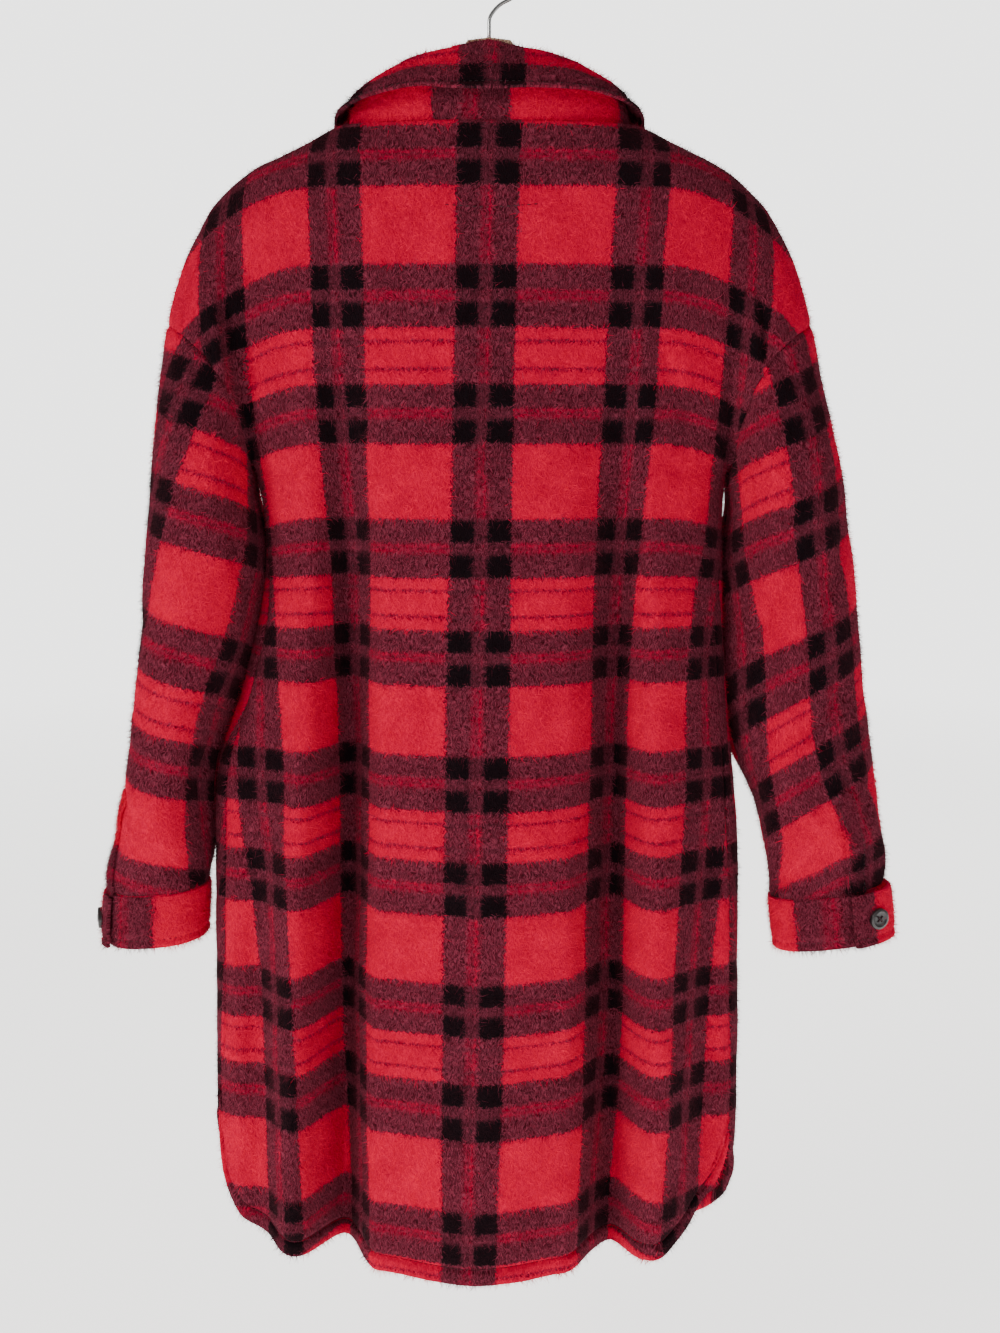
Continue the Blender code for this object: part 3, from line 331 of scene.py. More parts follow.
def sleevePoints(side, around, down):
    # around: -1 to 0 is the front from the inner to the outer edge, 0 to 1 the back
    sign, rows, own = (1 if side == "l" else -1), sleeve[side], cuff[side]

    def ring(z, tilt, blend, turn):
        outer, inner = read(rows, "outer", z), read(rows, "inner", z)
        middle, half, depth = sign * (outer + inner) / 2, (outer - inner) / 2, read(rows, "depth", z)
        middle += (own["x"] - middle) * blend
        half += (own["half"] - half) * blend
        depth += (own["depth"] - depth) * blend
        angle = np.linspace(0, math.pi, 120)
        power = 2 / shape["round"]
        x = half * np.copysign(np.abs(np.cos(angle)) ** power, np.cos(angle))
        y = turn * depth * np.abs(np.sin(angle)) ** power
        return np.stack((middle + sign * x, y, z + x * math.tan(tilt)), axis=1)

    halves = []
    for back in (False, True):
        turn = 1 if back else -1
        u = np.abs(around[around <= 0])[::-1] if not back else around[around >= 0]
        hole = armholeLine(back, side)
        w = down[down < 1]
        foot = along(ring(shape["capFoot"], 0, 0, turn), u)
        startZ = hole[0][2] + (shape["capFoot"] - hole[0][2]) * w
        endZ = shape["underarm"] + (shape["capFoot"] - shape["underarm"]) * w
        start = np.stack((sign * outline(startZ, side), 0 * w, startZ), axis=1)
        end = np.stack((sign * read(rows, "inner", endZ), 0 * w, endZ), axis=1)
        cap = coons(along(hole, u), foot, start, end, u, w)
        x, z = cap[..., 0], cap[..., 2]
        outer, inner = read(rows, "outer", z), read(rows, "inner", z)
        below = read(rows, "depth", z) * oval((np.abs(x) - (outer + inner) / 2) / ((outer - inner) / 2))
        cap[..., 1] = turn * np.where(z >= shape["underarm"], yokeDepth(x, z, back, side), below)
        cap[0], cap[-1] = start, end
        cap[:, 0] = along(hole, u)
        tube = []
        for t in down[down >= 1] - 1:
            z = shape["capFoot"] + (own["z"] + 0.3 - shape["capFoot"]) * t
            tilt = math.radians(own["tilt"]) * float(smooth((t - 0.4) / 0.6))
            tube.append(along(ring(z, tilt, float(smooth((t - 0.8) / 0.2)), turn), u))
        half = np.concatenate((cap, np.array(tube).transpose(1, 0, 2)), axis=1)
        halves.append(half[::-1] if not back else half[1:])
    return np.concatenate(halves)


# how the sleeves' plaid lies: the left one's is turned, the right one's is sheared and gathered
sleevePlaid = {"turn": 15.5, "s": -156.75, "t": -374.75, "shear": 0.35, "tRight": -392.75,
               "slip": 0.25, "slipFrom": 600}
gathered = table(
    "z a b c bend",
    (-340, 53, 80, 172, 0), (-440, 60, 88, 156, 0), (-545, 51, 81, 131, 0.1), (-650, 43, 74, 131, 0.28),
    (-720, 22, 50, 124, 0.33), (-760, 18, 46, 122, 0.33))


def arcAround(points):
    # lengths round a sleeve, from its outer edge, for each row
    steps = np.linalg.norm(np.diff(points, axis=0), axis=2)
    arc = np.vstack((np.zeros((1, points.shape[1])), np.cumsum(steps, axis=0)))
    return arc - arc[len(points) // 2]


def sleevePlaidAt(side, points):
    arc = arcAround(points)
    down = -points[..., 2]
    if side == "l":
        angle = math.radians(sleevePlaid["turn"])
        cos, sin = math.cos(angle), math.sin(angle)
        slip = sleevePlaid["slip"] * np.maximum(down - sleevePlaid["slipFrom"], 0)
        return np.stack((arc * cos + down * sin + sleevePlaid["s"] - slip,
                         down * cos - arc * sin + sleevePlaid["t"]), axis=-1)
    a, b, c = (read(gathered, name, -down) for name in "abc")
    # beyond the fold on the back, where the cloth doubles under, the warp runs on at its own width
    s = np.where(arc < a, arc - a - 15.25, np.where(arc < b, -15.25 + 30.5 * (arc - a) / (b - a),
                 np.where(arc < c - 9.5, 15.25 + 85 * (arc - b) / (c - 9.5 - b), 109.75 + arc - c)))
    bent = read(gathered, "bend", -down) * np.maximum(arc - 60, 0)
    return np.stack((s, down - sleevePlaid["shear"] * arc - bent + sleevePlaid["tRight"]), axis=-1)


print("cloth shapes ready")


def makeMaterial(name, color, roughness, metallic=0.0, **sockets):
    made = bpy.data.materials.new(name)
    made.use_nodes = True
    shader = made.node_tree.nodes["Principled BSDF"]
    shader.inputs["Base Color"].default_value = (*color, 1)
    shader.inputs["Roughness"].default_value = roughness
    shader.inputs["Metallic"].default_value = metallic
    for key, value in sockets.items():
        shader.inputs[key.replace("_", " ")].default_value = value
    return made, made.node_tree, shader


def mathNode(tree, operation, first, second=None):
    node = tree.nodes.new("ShaderNodeMath")
    node.operation = operation
    for i, value in enumerate((first, second)):
        if value is None:
            continue
        if isinstance(value, (int, float)):
            node.inputs[i].default_value = value
        else:
            tree.links.new(value, node.inputs[i])
    return node.outputs[0]


def centred(tree, value, size):
    # a noise value as plus or minus half a size
    return mathNode(tree, "MULTIPLY", mathNode(tree, "SUBTRACT", value, 0.5), size)


def noiseNode(tree, vector, scale, detail=3.0, stretch=None):
    if stretch:
        mapping = tree.nodes.new("ShaderNodeMapping")
        mapping.inputs["Scale"].default_value = stretch
        tree.links.new(vector, mapping.inputs["Vector"])
        vector = mapping.outputs["Vector"]
    node = tree.nodes.new("ShaderNodeTexNoise")
    node.inputs["Scale"].default_value = scale
    node.inputs["Detail"].default_value = detail
    tree.links.new(vector, node.inputs["Vector"])
    return node.outputs["Fac"]


def bandRamp(tree, value, bands, repeat):
    # one stripe after another over a repeat, with soft edges
    node = tree.nodes.new("ShaderNodeValToRGB")
    ramp = node.color_ramp
    ramp.interpolation = "LINEAR"
    stops = []
    for i, (start, dark) in enumerate(bands):
        end = bands[i + 1][0] if i + 1 < len(bands) else repeat
        blur = min(plaid["blur"] / 2, (end - start) / 4)
        stops += [((start + blur) / repeat, dark), ((end - blur) / repeat, dark)]
    ramp.elements[0].position, ramp.elements[1].position = stops[0][0], stops[-1][0]
    for element, dark in ((ramp.elements[0], stops[0][1]), (ramp.elements[1], stops[-1][1])):
        element.color = (dark, dark, dark, 1)
    middle = stops[1:-1]
    if len(middle) > 30:        # a ramp holds 32 stops, so the thinnest lines keep only one each
        thin = [i for i in range(1, len(bands) - 1) if bands[i + 1][0] - bands[i][0] < 4]
        middle = [stop for k, stop in enumerate(stops[1:-1], 1) if not (k // 2 in thin and k % 2)]
    for position, dark in middle:
        element = ramp.elements.new(position)
        element.color = (dark, dark, dark, 1)
    tree.links.new(value, node.inputs["Fac"])
    return node.outputs["Color"]


weave = {"swirl": 0.12, "wobble": 7.5, "fibre": 6.0, "tuft": 0.7, "hair": 1.1, "mixed": 0.8,
         "plain": 0.06,
         "glintMixed": 6.5, "glintPlain": 1.4, "cloud": 0.5, "darkest": 0.25, "height": 0.9,
         "warpShift": 24.75,
         "warpFray": 36.0, "weftFray": 44.0}


def plaidGroup():
    tree = bpy.data.node_groups.new("plaidWool", "ShaderNodeTree")
    tree.interface.new_socket("Plaid", in_out="INPUT", socket_type="NodeSocketVector")
    tree.interface.new_socket("Lightness", in_out="INPUT",
                              socket_type="NodeSocketFloat").default_value = 1.0
    tree.interface.new_socket("Color", in_out="OUTPUT", socket_type="NodeSocketColor")
    tree.interface.new_socket("Height", in_out="OUTPUT", socket_type="NodeSocketFloat")
    start, end = tree.nodes.new("NodeGroupInput"), tree.nodes.new("NodeGroupOutput")
    uv = start.outputs["Plaid"]
    bent = tree.nodes.new("ShaderNodeVectorMath")
    bent.operation = "ADD"
    swirl = tree.nodes.new("ShaderNodeTexNoise")
    swirl.inputs["Scale"].default_value = 9.0
    tree.links.new(uv, swirl.inputs["Vector"])
    swirled = tree.nodes.new("ShaderNodeVectorMath")
    swirled.operation = "SCALE"
    swirled.inputs["Scale"].default_value = weave["swirl"]
    tree.links.new(swirl.outputs["Color"], swirled.inputs[0])
    tree.links.new(uv, bent.inputs[0])
    tree.links.new(swirled.outputs["Vector"], bent.inputs[1])
    hair = noiseNode(tree, bent.outputs["Vector"], 1.0, 3.0, (120, 26, 1))
    tuft = noiseNode(tree, uv, 30.0, 3.0)
    cloud = noiseNode(tree, uv, 3.2, 2.0)
    split = tree.nodes.new("ShaderNodeSeparateXYZ")
    tree.links.new(uv, split.inputs[0])
    coords = []
    yarnSets = ((0, plaid["warpRepeat"], weave["warpShift"], weave["warpFray"]),
                (1, plaid["weftRepeat"], 0.0, weave["weftFray"]))
    for axis, repeat, shift, fray in yarnSets:
        wobble = centred(tree, noiseNode(tree, uv, fray, 4.0), weave["wobble"])
        fibre = centred(tree, hair, weave["fibre"])
        place = mathNode(tree, "ADD", mathNode(tree, "MULTIPLY", split.outputs[axis], uvUnit), shift)
        place = mathNode(tree, "ADD", mathNode(tree, "ADD", place, wobble), fibre)
        coords.append(mathNode(tree, "FRACT", mathNode(tree, "DIVIDE", place, repeat)))
    warp = bandRamp(tree, coords[0], plaid["warp"], plaid["warpRepeat"])
    weft = bandRamp(tree, coords[1], plaid["weft"], plaid["weftRepeat"])
    both = mathNode(tree, "MULTIPLY", mathNode(tree, "ADD", warp, weft), 0.5)
    # where one yarn is dark, both show through each other in hairs and tufts
    rest = mathNode(tree, "SUBTRACT", 1.0, both)
    mixed = mathNode(tree, "MULTIPLY", mathNode(tree, "MULTIPLY", both, rest), 4.0)
    mottle = mathNode(tree, "ADD", centred(tree, tuft, weave["tuft"]), centred(tree, hair, weave["hair"]))
    share = mathNode(tree, "ADD", mathNode(tree, "MULTIPLY", mixed, weave["mixed"]), weave["plain"])
    showing = mathNode(tree, "MULTIPLY", mottle, share)
    yarns = tree.nodes.new("ShaderNodeValToRGB")
    for i, (position, color) in enumerate(plaid["yarns"]):
        element = yarns.color_ramp.elements[i] if i < 2 else yarns.color_ramp.elements.new(position)
        element.position = position
        element.color = (*color, 1)
    tree.links.new(mathNode(tree, "ADD", both, showing), yarns.inputs["Fac"])
    # hairs catch the light one by one, most of all where the yarns mix
    glintSize = mathNode(tree, "MULTIPLY", mixed, weave["glintMixed"])
    glint = centred(tree, hair, mathNode(tree, "ADD", glintSize, weave["glintPlain"]))
    shade = mathNode(tree, "ADD", centred(tree, cloud, weave["cloud"]), glint)
    shade = mathNode(tree, "MAXIMUM", mathNode(tree, "ADD", shade, 1.0), weave["darkest"])
    light = mathNode(tree, "MULTIPLY", shade, start.outputs["Lightness"])
    toned = tree.nodes.new("ShaderNodeVectorMath")
    toned.operation = "SCALE"
    tree.links.new(yarns.outputs["Color"], toned.inputs[0])
    tree.links.new(light, toned.inputs["Scale"])
    tree.links.new(toned.outputs["Vector"], end.inputs["Color"])
    height = mathNode(tree, "ADD", mathNode(tree, "MULTIPLY", hair, weave["height"]),
                      mathNode(tree, "MULTIPLY", tuft, weave["height"]))
    tree.links.new(height, end.inputs["Height"])
    return tree


plaidWool = plaidGroup()
woolLook = {"roughness": 0.95, "sheen": 0.1, "sheenTint": (0.9, 0.16, 0.24, 1), "bump": 0.9,
            "bumpDistance": 0.0014}


def makeWool(name, lightness, bump):
    made, tree, shader = makeMaterial(name, (0.3, 0.01, 0.03), woolLook["roughness"], 0.0,
                                      Sheen_Weight=woolLook["sheen"], Sheen_Roughness=0.55,
                                      Sheen_Tint=woolLook["sheenTint"], Specular_IOR_Level=0.03)
    uv = tree.nodes.new("ShaderNodeUVMap")
    uv.uv_map = "UVMap"
    group = tree.nodes.new("ShaderNodeGroup")
    group.node_tree = plaidWool
    group.inputs["Lightness"].default_value = lightness
    tree.links.new(uv.outputs["UV"], group.inputs["Plaid"])
    tree.links.new(group.outputs["Color"], shader.inputs["Base Color"])
    if bump:
        node = tree.nodes.new("ShaderNodeBump")
        node.inputs["Strength"].default_value = woolLook["bump"]
        node.inputs["Distance"].default_value = woolLook["bumpDistance"]
        tree.links.new(group.outputs["Height"], node.inputs["Height"])
        tree.links.new(node.outputs["Normal"], shader.inputs["Normal"])
    return made


wool = makeWool("brushedWool", 1.0, True)
# the loose fibres get a copy of the same wool painted 1.35 times lighter: painted light standing in for
# light caught by the fuzz
woolHair = makeWool("woolHair", 1.35, False)
thread = makeMaterial("darkThread", (0.03, 0.008, 0.012), 0.8)[0]


def active(piece):
    bpy.ops.object.select_all(action="DESELECT")
    piece.select_set(True)
    bpy.context.view_layer.objects.active = piece


def applyModifier(piece, kind, **settings):
    active(piece)
    added = piece.modifiers.new(kind.lower(), kind)
    for key, value in settings.items():
        setattr(added, key, value)
    bpy.ops.object.modifier_apply(modifier=added.name)


def makeCloth(name, points, uvs, normals, wall, closed=False, edge=0.0):
    # a grid drawn out over the points, given its wall, and turned to face outwards
    across, down = points.shape[:2]
    bpy.ops.object.select_all(action="DESELECT")
    bpy.ops.mesh.primitive_grid_add(x_subdivisions=across - 1, y_subdivisions=down - 1, size=1)
    piece = bpy.context.active_object
    piece.name = piece.data.name = name
    places = points.transpose(1, 0, 2).reshape(-1, 3) * mm
    piece.data.vertices.foreach_set("co", places.astype(np.float32).ravel())
    corners = np.zeros(len(piece.data.loops), np.int32)
    piece.data.loops.foreach_get("vertex_index", corners)
    flat = (uvs.transpose(1, 0, 2).reshape(-1, 2) / uvUnit)[corners]
    piece.data.uv_layers[0].data.foreach_set("uv", flat.astype(np.float32).ravel())
    piece.data.update()
    facing = np.zeros(len(piece.data.vertices) * 3, np.float32)
    piece.data.vertices.foreach_get("normal", facing)
    wanted = normals.transpose(1, 0, 2).reshape(-1, 3)
    active(piece)
    bpy.ops.object.mode_set(mode="EDIT")
    bpy.ops.mesh.select_all(action="SELECT")
    if np.sum(facing.reshape(-1, 3) * wanted) < 0:
        bpy.ops.mesh.flip_normals()
    if closed:
        bpy.ops.mesh.remove_doubles(threshold=0.00002)
    bpy.ops.object.mode_set(mode="OBJECT")
    applyModifier(piece, "SOLIDIFY", thickness=wall * mm, offset=-1.0, use_even_offset=False)
    if edge:
        applyModifier(piece, "BEVEL", width=edge * mm, segments=2, limit_method="ANGLE",
                      angle_limit=math.radians(60))
    active(piece)
    bpy.ops.object.shade_smooth()
    piece.data.materials.clear()
    piece.data.materials.append(wool)
    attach(piece, "root")
    return piece


hairLook = {"long": (3.0, 8.5), "wide": 0.42, "lift": (0.08, 0.5), "stray": 1.6, "seed": 11}


def makeHair(name, piece, points, uvs, normals, count, bare=()):
    # loose fibres of the brushed face, each a sliver with the plaid's colour at its root, painted lighter
    # as painted light caught by the fuzz
    rng = np.random.default_rng(hairLook["seed"] + len(name) * 7)
    across, down = points.shape[:2]
    quads = np.linalg.norm(np.cross(points[1:, :-1] - points[:-1, :-1],
                                    points[:-1, 1:] - points[:-1, :-1]), axis=2)
    for row in bare:
        quads[:, row] = 0
    odds = quads.ravel() / quads.sum()
    pick = rng.choice(len(odds), count, p=odds)
    i, j = np.unravel_index(pick, quads.shape)
    a, b = rng.random((2, count, 1))

    def mix(grid):
        return ((1 - a) * (1 - b) * grid[i, j] + a * (1 - b) * grid[i + 1, j]
                + (1 - a) * b * grid[i, j + 1] + a * b * grid[i + 1, j + 1])

    root, uv, normal = mix(points), mix(uvs), unit(mix(normals))
    uv = uv + rng.normal(0, hairLook["stray"], uv.shape)
    lean = rng.normal(size=(count, 3)) + np.array((0, 0, -0.9))
    lean = unit(lean - normal * np.sum(lean * normal, axis=1, keepdims=True))
    lift = rng.uniform(*hairLook["lift"], (count, 1))
    way = unit(lean * (1 - lift) + normal * lift)
    long = rng.uniform(*hairLook["long"], (count, 1))
    side = unit(np.cross(way, normal)) * hairLook["wide"] / 2
    root = root - normal * 0.3
    corners = np.stack((root - side, root + side, root + way * long), axis=1).reshape(-1, 3) * mm
    mesh = bpy.data.meshes.new(name)
    mesh.vertices.add(count * 3)
    mesh.vertices.foreach_set("co", corners.astype(np.float32).ravel())
    mesh.loops.add(count * 3)
    mesh.loops.foreach_set("vertex_index", np.arange(count * 3, dtype=np.int32))
    mesh.polygons.add(count)
    mesh.polygons.foreach_set("loop_start", np.arange(0, count * 3, 3, dtype=np.int32))
    mesh.uv_layers.new(name="UVMap")
    mesh.uv_layers[0].data.foreach_set("uv", np.repeat(uv / uvUnit, 3, axis=0).astype(np.float32).ravel())
    mesh.materials.append(woolHair)
    mesh.update()
    mesh.validate()
    hair = bpy.data.objects.new(name, mesh)
    bpy.context.scene.collection.objects.link(hair)
    hair.parent = piece
    return hair


def makeStitches(name, piece, line, normal, pitch=4.6, long=3.0, wide=0.7):
    # a row of sunk stitches along a line of points
    lengths = arcLengths(line)
    count = int(lengths[-1] / pitch)
    shares = (np.arange(count) + 0.5) / count
    place = along(line, shares)
    out = unit(along(normal, shares))
    ahead = unit(along(line, np.minimum(shares + 0.002, 1)) - along(line, np.maximum(shares - 0.002, 0)))
    side = np.cross(out, ahead)
    template = ((-0.5, 0, 0), (-0.2, 0.5, 0), (-0.2, 0, 0.5), (-0.2, -0.5, 0),
                (0.2, 0.5, 0), (0.2, 0, 0.5), (0.2, -0.5, 0), (0.5, 0, 0))
    faces = ((0, 1, 2), (0, 2, 3), (0, 3, 1), (1, 4, 5, 2), (2, 5, 6, 3), (3, 6, 4, 1), (7, 5, 4),
             (7, 6, 5), (7, 4, 6))
    verts = np.concatenate([[p + ahead[k] * long * a + side[k] * wide * b + out[k] * (wide * c + 0.35)
                             for a, b, c in template] for k, p in enumerate(place)]) * mm
    mesh = bpy.data.meshes.new(name)
    mesh.from_pydata(verts.tolist(), [], [tuple(v + 8
                                                * k for v in f) for k in range(count) for f in faces])
    mesh.materials.append(thread)
    mesh.shade_smooth()
    made = bpy.data.objects.new(name, mesh)
    bpy.context.scene.collection.objects.link(made)
    made.parent = piece
    return made


print("materials ready")

# Panels: rows down the yoke and skirt, then the turned hem that goes round the edge and up inside
panel = {"wall": 2.2, "across": 74, "yokeRows": 66, "skirtRows": 150, "hemTurn": 14.0, "hemPuff": 1.5,
         "seamDip": 1.1, "seamReach": 5.0, "gap": 0.45, "rough": 1.5, "fine": 0.5,
         "hemGroove": 1.7, "hemGrooveWide": 1.5, "backHairs": 165000, "frontHairs": 56000, "tabZ": -201.0,
         "tabHalf": 9}
hemRows = [22, 18.5, 16, 14.8, 14, 13.2, 12, 9, 6, 3.5, 1.6]      # heights of the last rows above the hem
hemRound = [(0.5, 0.5), (0, 1.4), (-0.2, 2.4), (0, 3.4), (0.6, 4.2), (3, 4.7), (8, 4.8), (14, 4.8)]
creases = {
    "back": [(214, -236, 206, -420, 6.5, -8.5), (-208, -238, -203, -420, 6.5, -8.5),
             (224, -250, 218, -400, 8, 3.2),
             (-220, -250, -216, -400, 8, 3.2), (-178, -392, -120, -250, 9, -2.6),
             (-170, -410, -60, -330, 10, -1.8), (176, -392, 118, -262, 9, -2.6),
             (170, -412, 62, -345, 10, -1.8), (-60, -175, 70, -190, 14, -1.2),
             (150, -200, 60, -260, 12, -1.2),
             (-150, -200, -60, -262, 12, -1.2), (60, -520, 72, -1040, 11, -2.2),
             (-48, -560, -52, -1060, 12, -2.4),
             (20, -700, 28, -1070, 9, 1.6), (-20, -480, -24, -800, 10, 1.4),
             (170, -560, 196, -760, 10, -3.0),
             (-160, -470, -186, -640, 9, -2.6), (140, -900, 150, -1080, 8, 2.0),
             (-150, -930, -160, -1090, 7, 2.2),
             (176, -470, 120, -600, 10, -2.0), (-180, -450, -112, -590, 10, -2.0),
             (205, -780, 214, -940, 8, -2.0)],
    "front": [(-178, -392, -110, -250, 9, -2.6), (178, -392, 112, -255, 9, -2.6),
              (-170, -415, -60, -350, 10, -1.8),
              (168, -415, 66, -345, 10, -1.8), (52, -620, 60, -1080, 10, -2.2),
              (-46, -600, -50, -1080, 11, -2.2),
              (160, -480, 190, -700, 10, -2.6), (-160, -480, -188, -690, 10, -2.6),
              (90, -230, 140, -330, 12, -1.4),
              (-92, -232, -138, -335, 12, -1.4), (196, -800, 204, -960, 8, -2.0),
              (-180, -820, -190, -980, 8, -2.0)]}


def drawIn(points, axis, at, distance):
    # one edge of a grid drawn in along its own surface
    pick, near = [slice(None)] * 3, [slice(None)] * 3
    pick[axis], near[axis] = at, 1 if at == 0 else -2
    points[tuple(pick)] += unit(points[tuple(near)] - points[tuple(pick)]) * distance


def panelSheet(back, side):
    across = np.linspace(0, 1, panel["across"] + 1)
    yoke = np.concatenate(([0, 0.012, 0.03, 0.055], np.linspace(0.08, 0.985, panel["yokeRows"])))
    last = 2 - 24 / (shape["underarm"] - shape["hemBack"])
    skirt = np.linspace(1, last, panel["skirtRows"])
    down = np.concatenate((yoke, skirt, np.full(len(hemRows), 2.0)))
    inset = np.concatenate((np.zeros(len(skirt)), hemRows))
    points = panelPoints(back, side, across, down, inset)
    uvs = panelPlaid(points, back, side, across)
    hint = np.array((0, 1.0 if back else -1.0, 0))
    normals = gridNormals(points, hint)
    x, z = points[..., 0], points[..., 2]
    # relief dies out at the seams, where it dips instead
    fromSide = (1 - across)[:, None] * 280
    fromTop = np.linalg.norm(points - points[:, :1], axis=2)
    edge = smooth(np.minimum(fromSide, fromTop) / 16)
    hem = z - np.array([hemHeight(u, back, side) for u in across])[:, None]
    relief = strokes(x, z, creases["back" if back else "front"])
    relief = relief + panel["rough"] * uneven(points, 62, 3 if back else 5)
    relief += panel["fine"] * uneven(points, 17, 9 if back else 6)
    relief = relief * edge * (0.35 + 0.65 * smooth(hem / 60))
    relief -= panel["seamDip"] * (1 - smooth(np.minimum(fromSide, fromTop) / panel["seamReach"]))
    groove = panel["hemGroove"] * np.exp(-((hem - panel["hemTurn"]) / panel["hemGrooveWide"]) ** 2)
    relief += panel["hemPuff"] * smooth((13.6 - hem) / 3) - groove
    relief += 1.4 * uneven(points, 30, 14) * smooth((40 - hem) / 40) * smooth(fromSide / 20)
    points = points + normals * relief[..., None]
    return points, uvs, normals


def turnHem(points, uvs, normals):
    # the last rows go round the hem's edge and up inside
    edge, out = points[:, -1], normals[:, -1]
    lower = unit(points[:, -1] - points[:, -3])
    edge = edge + lower * hemRows[-1]
    rows = [edge - lower * up - out * deep for up, deep in hemRound]
    turned = np.concatenate((points, np.stack(rows, axis=1)), axis=1)
    step = uvs[:, -1:, :] + np.array([[0, hemRows[-1] + deep] for _, deep in hemRound])[None]
    facing = [out if deep < 1 else lower if deep < 4 else -out for _, deep in hemRound]
    turnedUvs = np.concatenate((uvs, step), axis=1)
    return turned, turnedUvs, np.concatenate((normals, np.stack(facing, axis=1)), axis=1)


def clothPiece(name, nodes, points, uvs, normals, wall, hairs, closed=False, edge=0.0, bare=()):
    piece = makeCloth(name, points, uvs, normals, wall, closed, edge)
    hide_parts(*nodes)
    extras = [makeHair(name + "Hair", piece, points, uvs, normals, hairs, bare)]
    print(name, len(piece.data.polygons), "faces")
    return piece, extras


hemRow = -len(hemRows) + hemRows.index(14)
bareHem = [hemRow - len(hemRound) + k for k in (-3, -2, -1, 0, 1)]
left, right = panelSheet(True, "l"), panelSheet(True, "r")
pocketSlit = {"top": -600.0, "length": 160.0, "open": 3.0}
for points, _, _ in (left, right):
    share = np.clip((pocketSlit["top"] - points[-1, :, 2]) / pocketSlit["length"], 0, 1)
    drawIn(points, 0, -1, panel["gap"] / 2 + (pocketSlit["open"] * np.sin(np.pi * share))[:, None])
backGrid = [np.concatenate((r[:0:-1], l)) for l, r in zip(left, right)]
drawIn(backGrid[0], 1, 0, panel["gap"] / 2)
middleColumn = len(right[0]) - 1
backPoints = backGrid[0]
backPoints[middleColumn] = (backPoints[middleColumn - 1] + backPoints[middleColumn + 1]) / 2
stitchLine = backPoints[:, hemRow].copy(), backGrid[2][:, hemRow].copy()
tabRow = int(np.argmin(np.abs(backPoints[middleColumn, :, 2] - panel["tabZ"])))
tab = slice(middleColumn - panel["tabHalf"], middleColumn + panel["tabHalf"])
tabLine = backPoints[tab, tabRow].copy(), backGrid[2][tab, tabRow].copy()
backCloth, backExtras = clothPiece("backCloth", ["back_panel"], *turnHem(*backGrid), panel["wall"],
                                   panel["backHairs"], bare=bareHem)
backExtras.append(makeStitches("backHemStitches", backCloth, *stitchLine))
backExtras.append(makeStitches("backTabStitches", backCloth, *tabLine, pitch=5.2, long=3.4))

for side, name, node in (("l", "frontLeftCloth", "front_left"), ("r", "frontRightCloth", "front_right")):
    points, uvs, normals = panelSheet(False, side)
    uvs = uvs + np.array((62.5, 0))
    drawIn(points, 0, -1, panel["gap"] / 2)
    drawIn(points, 1, 0, panel["gap"] / 2)
    drawIn(points, 0, 0, panel["gap"] / 2)
    line = points[:, hemRow].copy(), normals[:, hemRow].copy()
    piece, extras = clothPiece(name, [node], *turnHem(points, uvs, normals), panel["wall"],
                               panel["frontHairs"], bare=bareHem)
    extras.append(makeStitches(name + "HemStitches", piece, *line))

# Sleeves: cut at the under arm seam, so that the plaid runs round from there
sleeveCut = {"wall": 2.2, "half": 52, "capRows": 34, "tubeRows": 66, "spare": 0.65, "hairs": 56000,
             "around": 340.0}
sleeveCreases = {
    "l": [(-60, -470, 40, -540, 9, -3.2), (60, -520, 140, -590, 8, -3.4), (20, -600, 120, -650, 8, 2.4),
          (-20, -640, 90, -700, 8, -2.8), (120, -430, 150, -520, 8, -3.0),
          (-120, -560, -40, -640, 10, -2.6),
          (40, -700, 110, -742, 6, -2.2), (150, -600, 110, -690, 7, -2.6),
          (-150, -440, -90, -520, 9, -2.6)],
    "r": [(30, -430, 90, -520, 9, -3.4), (90, -470, 150, -560, 8, -3.2), (40, -560, 130, -640, 9, -3.6),
          (20, -640, 70, -720, 8, -3.0), (100, -600, 60, -700, 8, 3.0), (-40, -480, 20, -600, 10, -2.6),
          (-130, -520, -60, -620, 10, -2.6), (110, -680, 60, -745, 7, -2.6),
          (-150, -430, -100, -520, 9, -2.4)]}
sleeveRest = {"in": 20.0, "wide": 26.0, "size": 15.0, "from": -420.0, "to": {"l": -760.0, "r": -690.0}}
sleeveGrids = {}
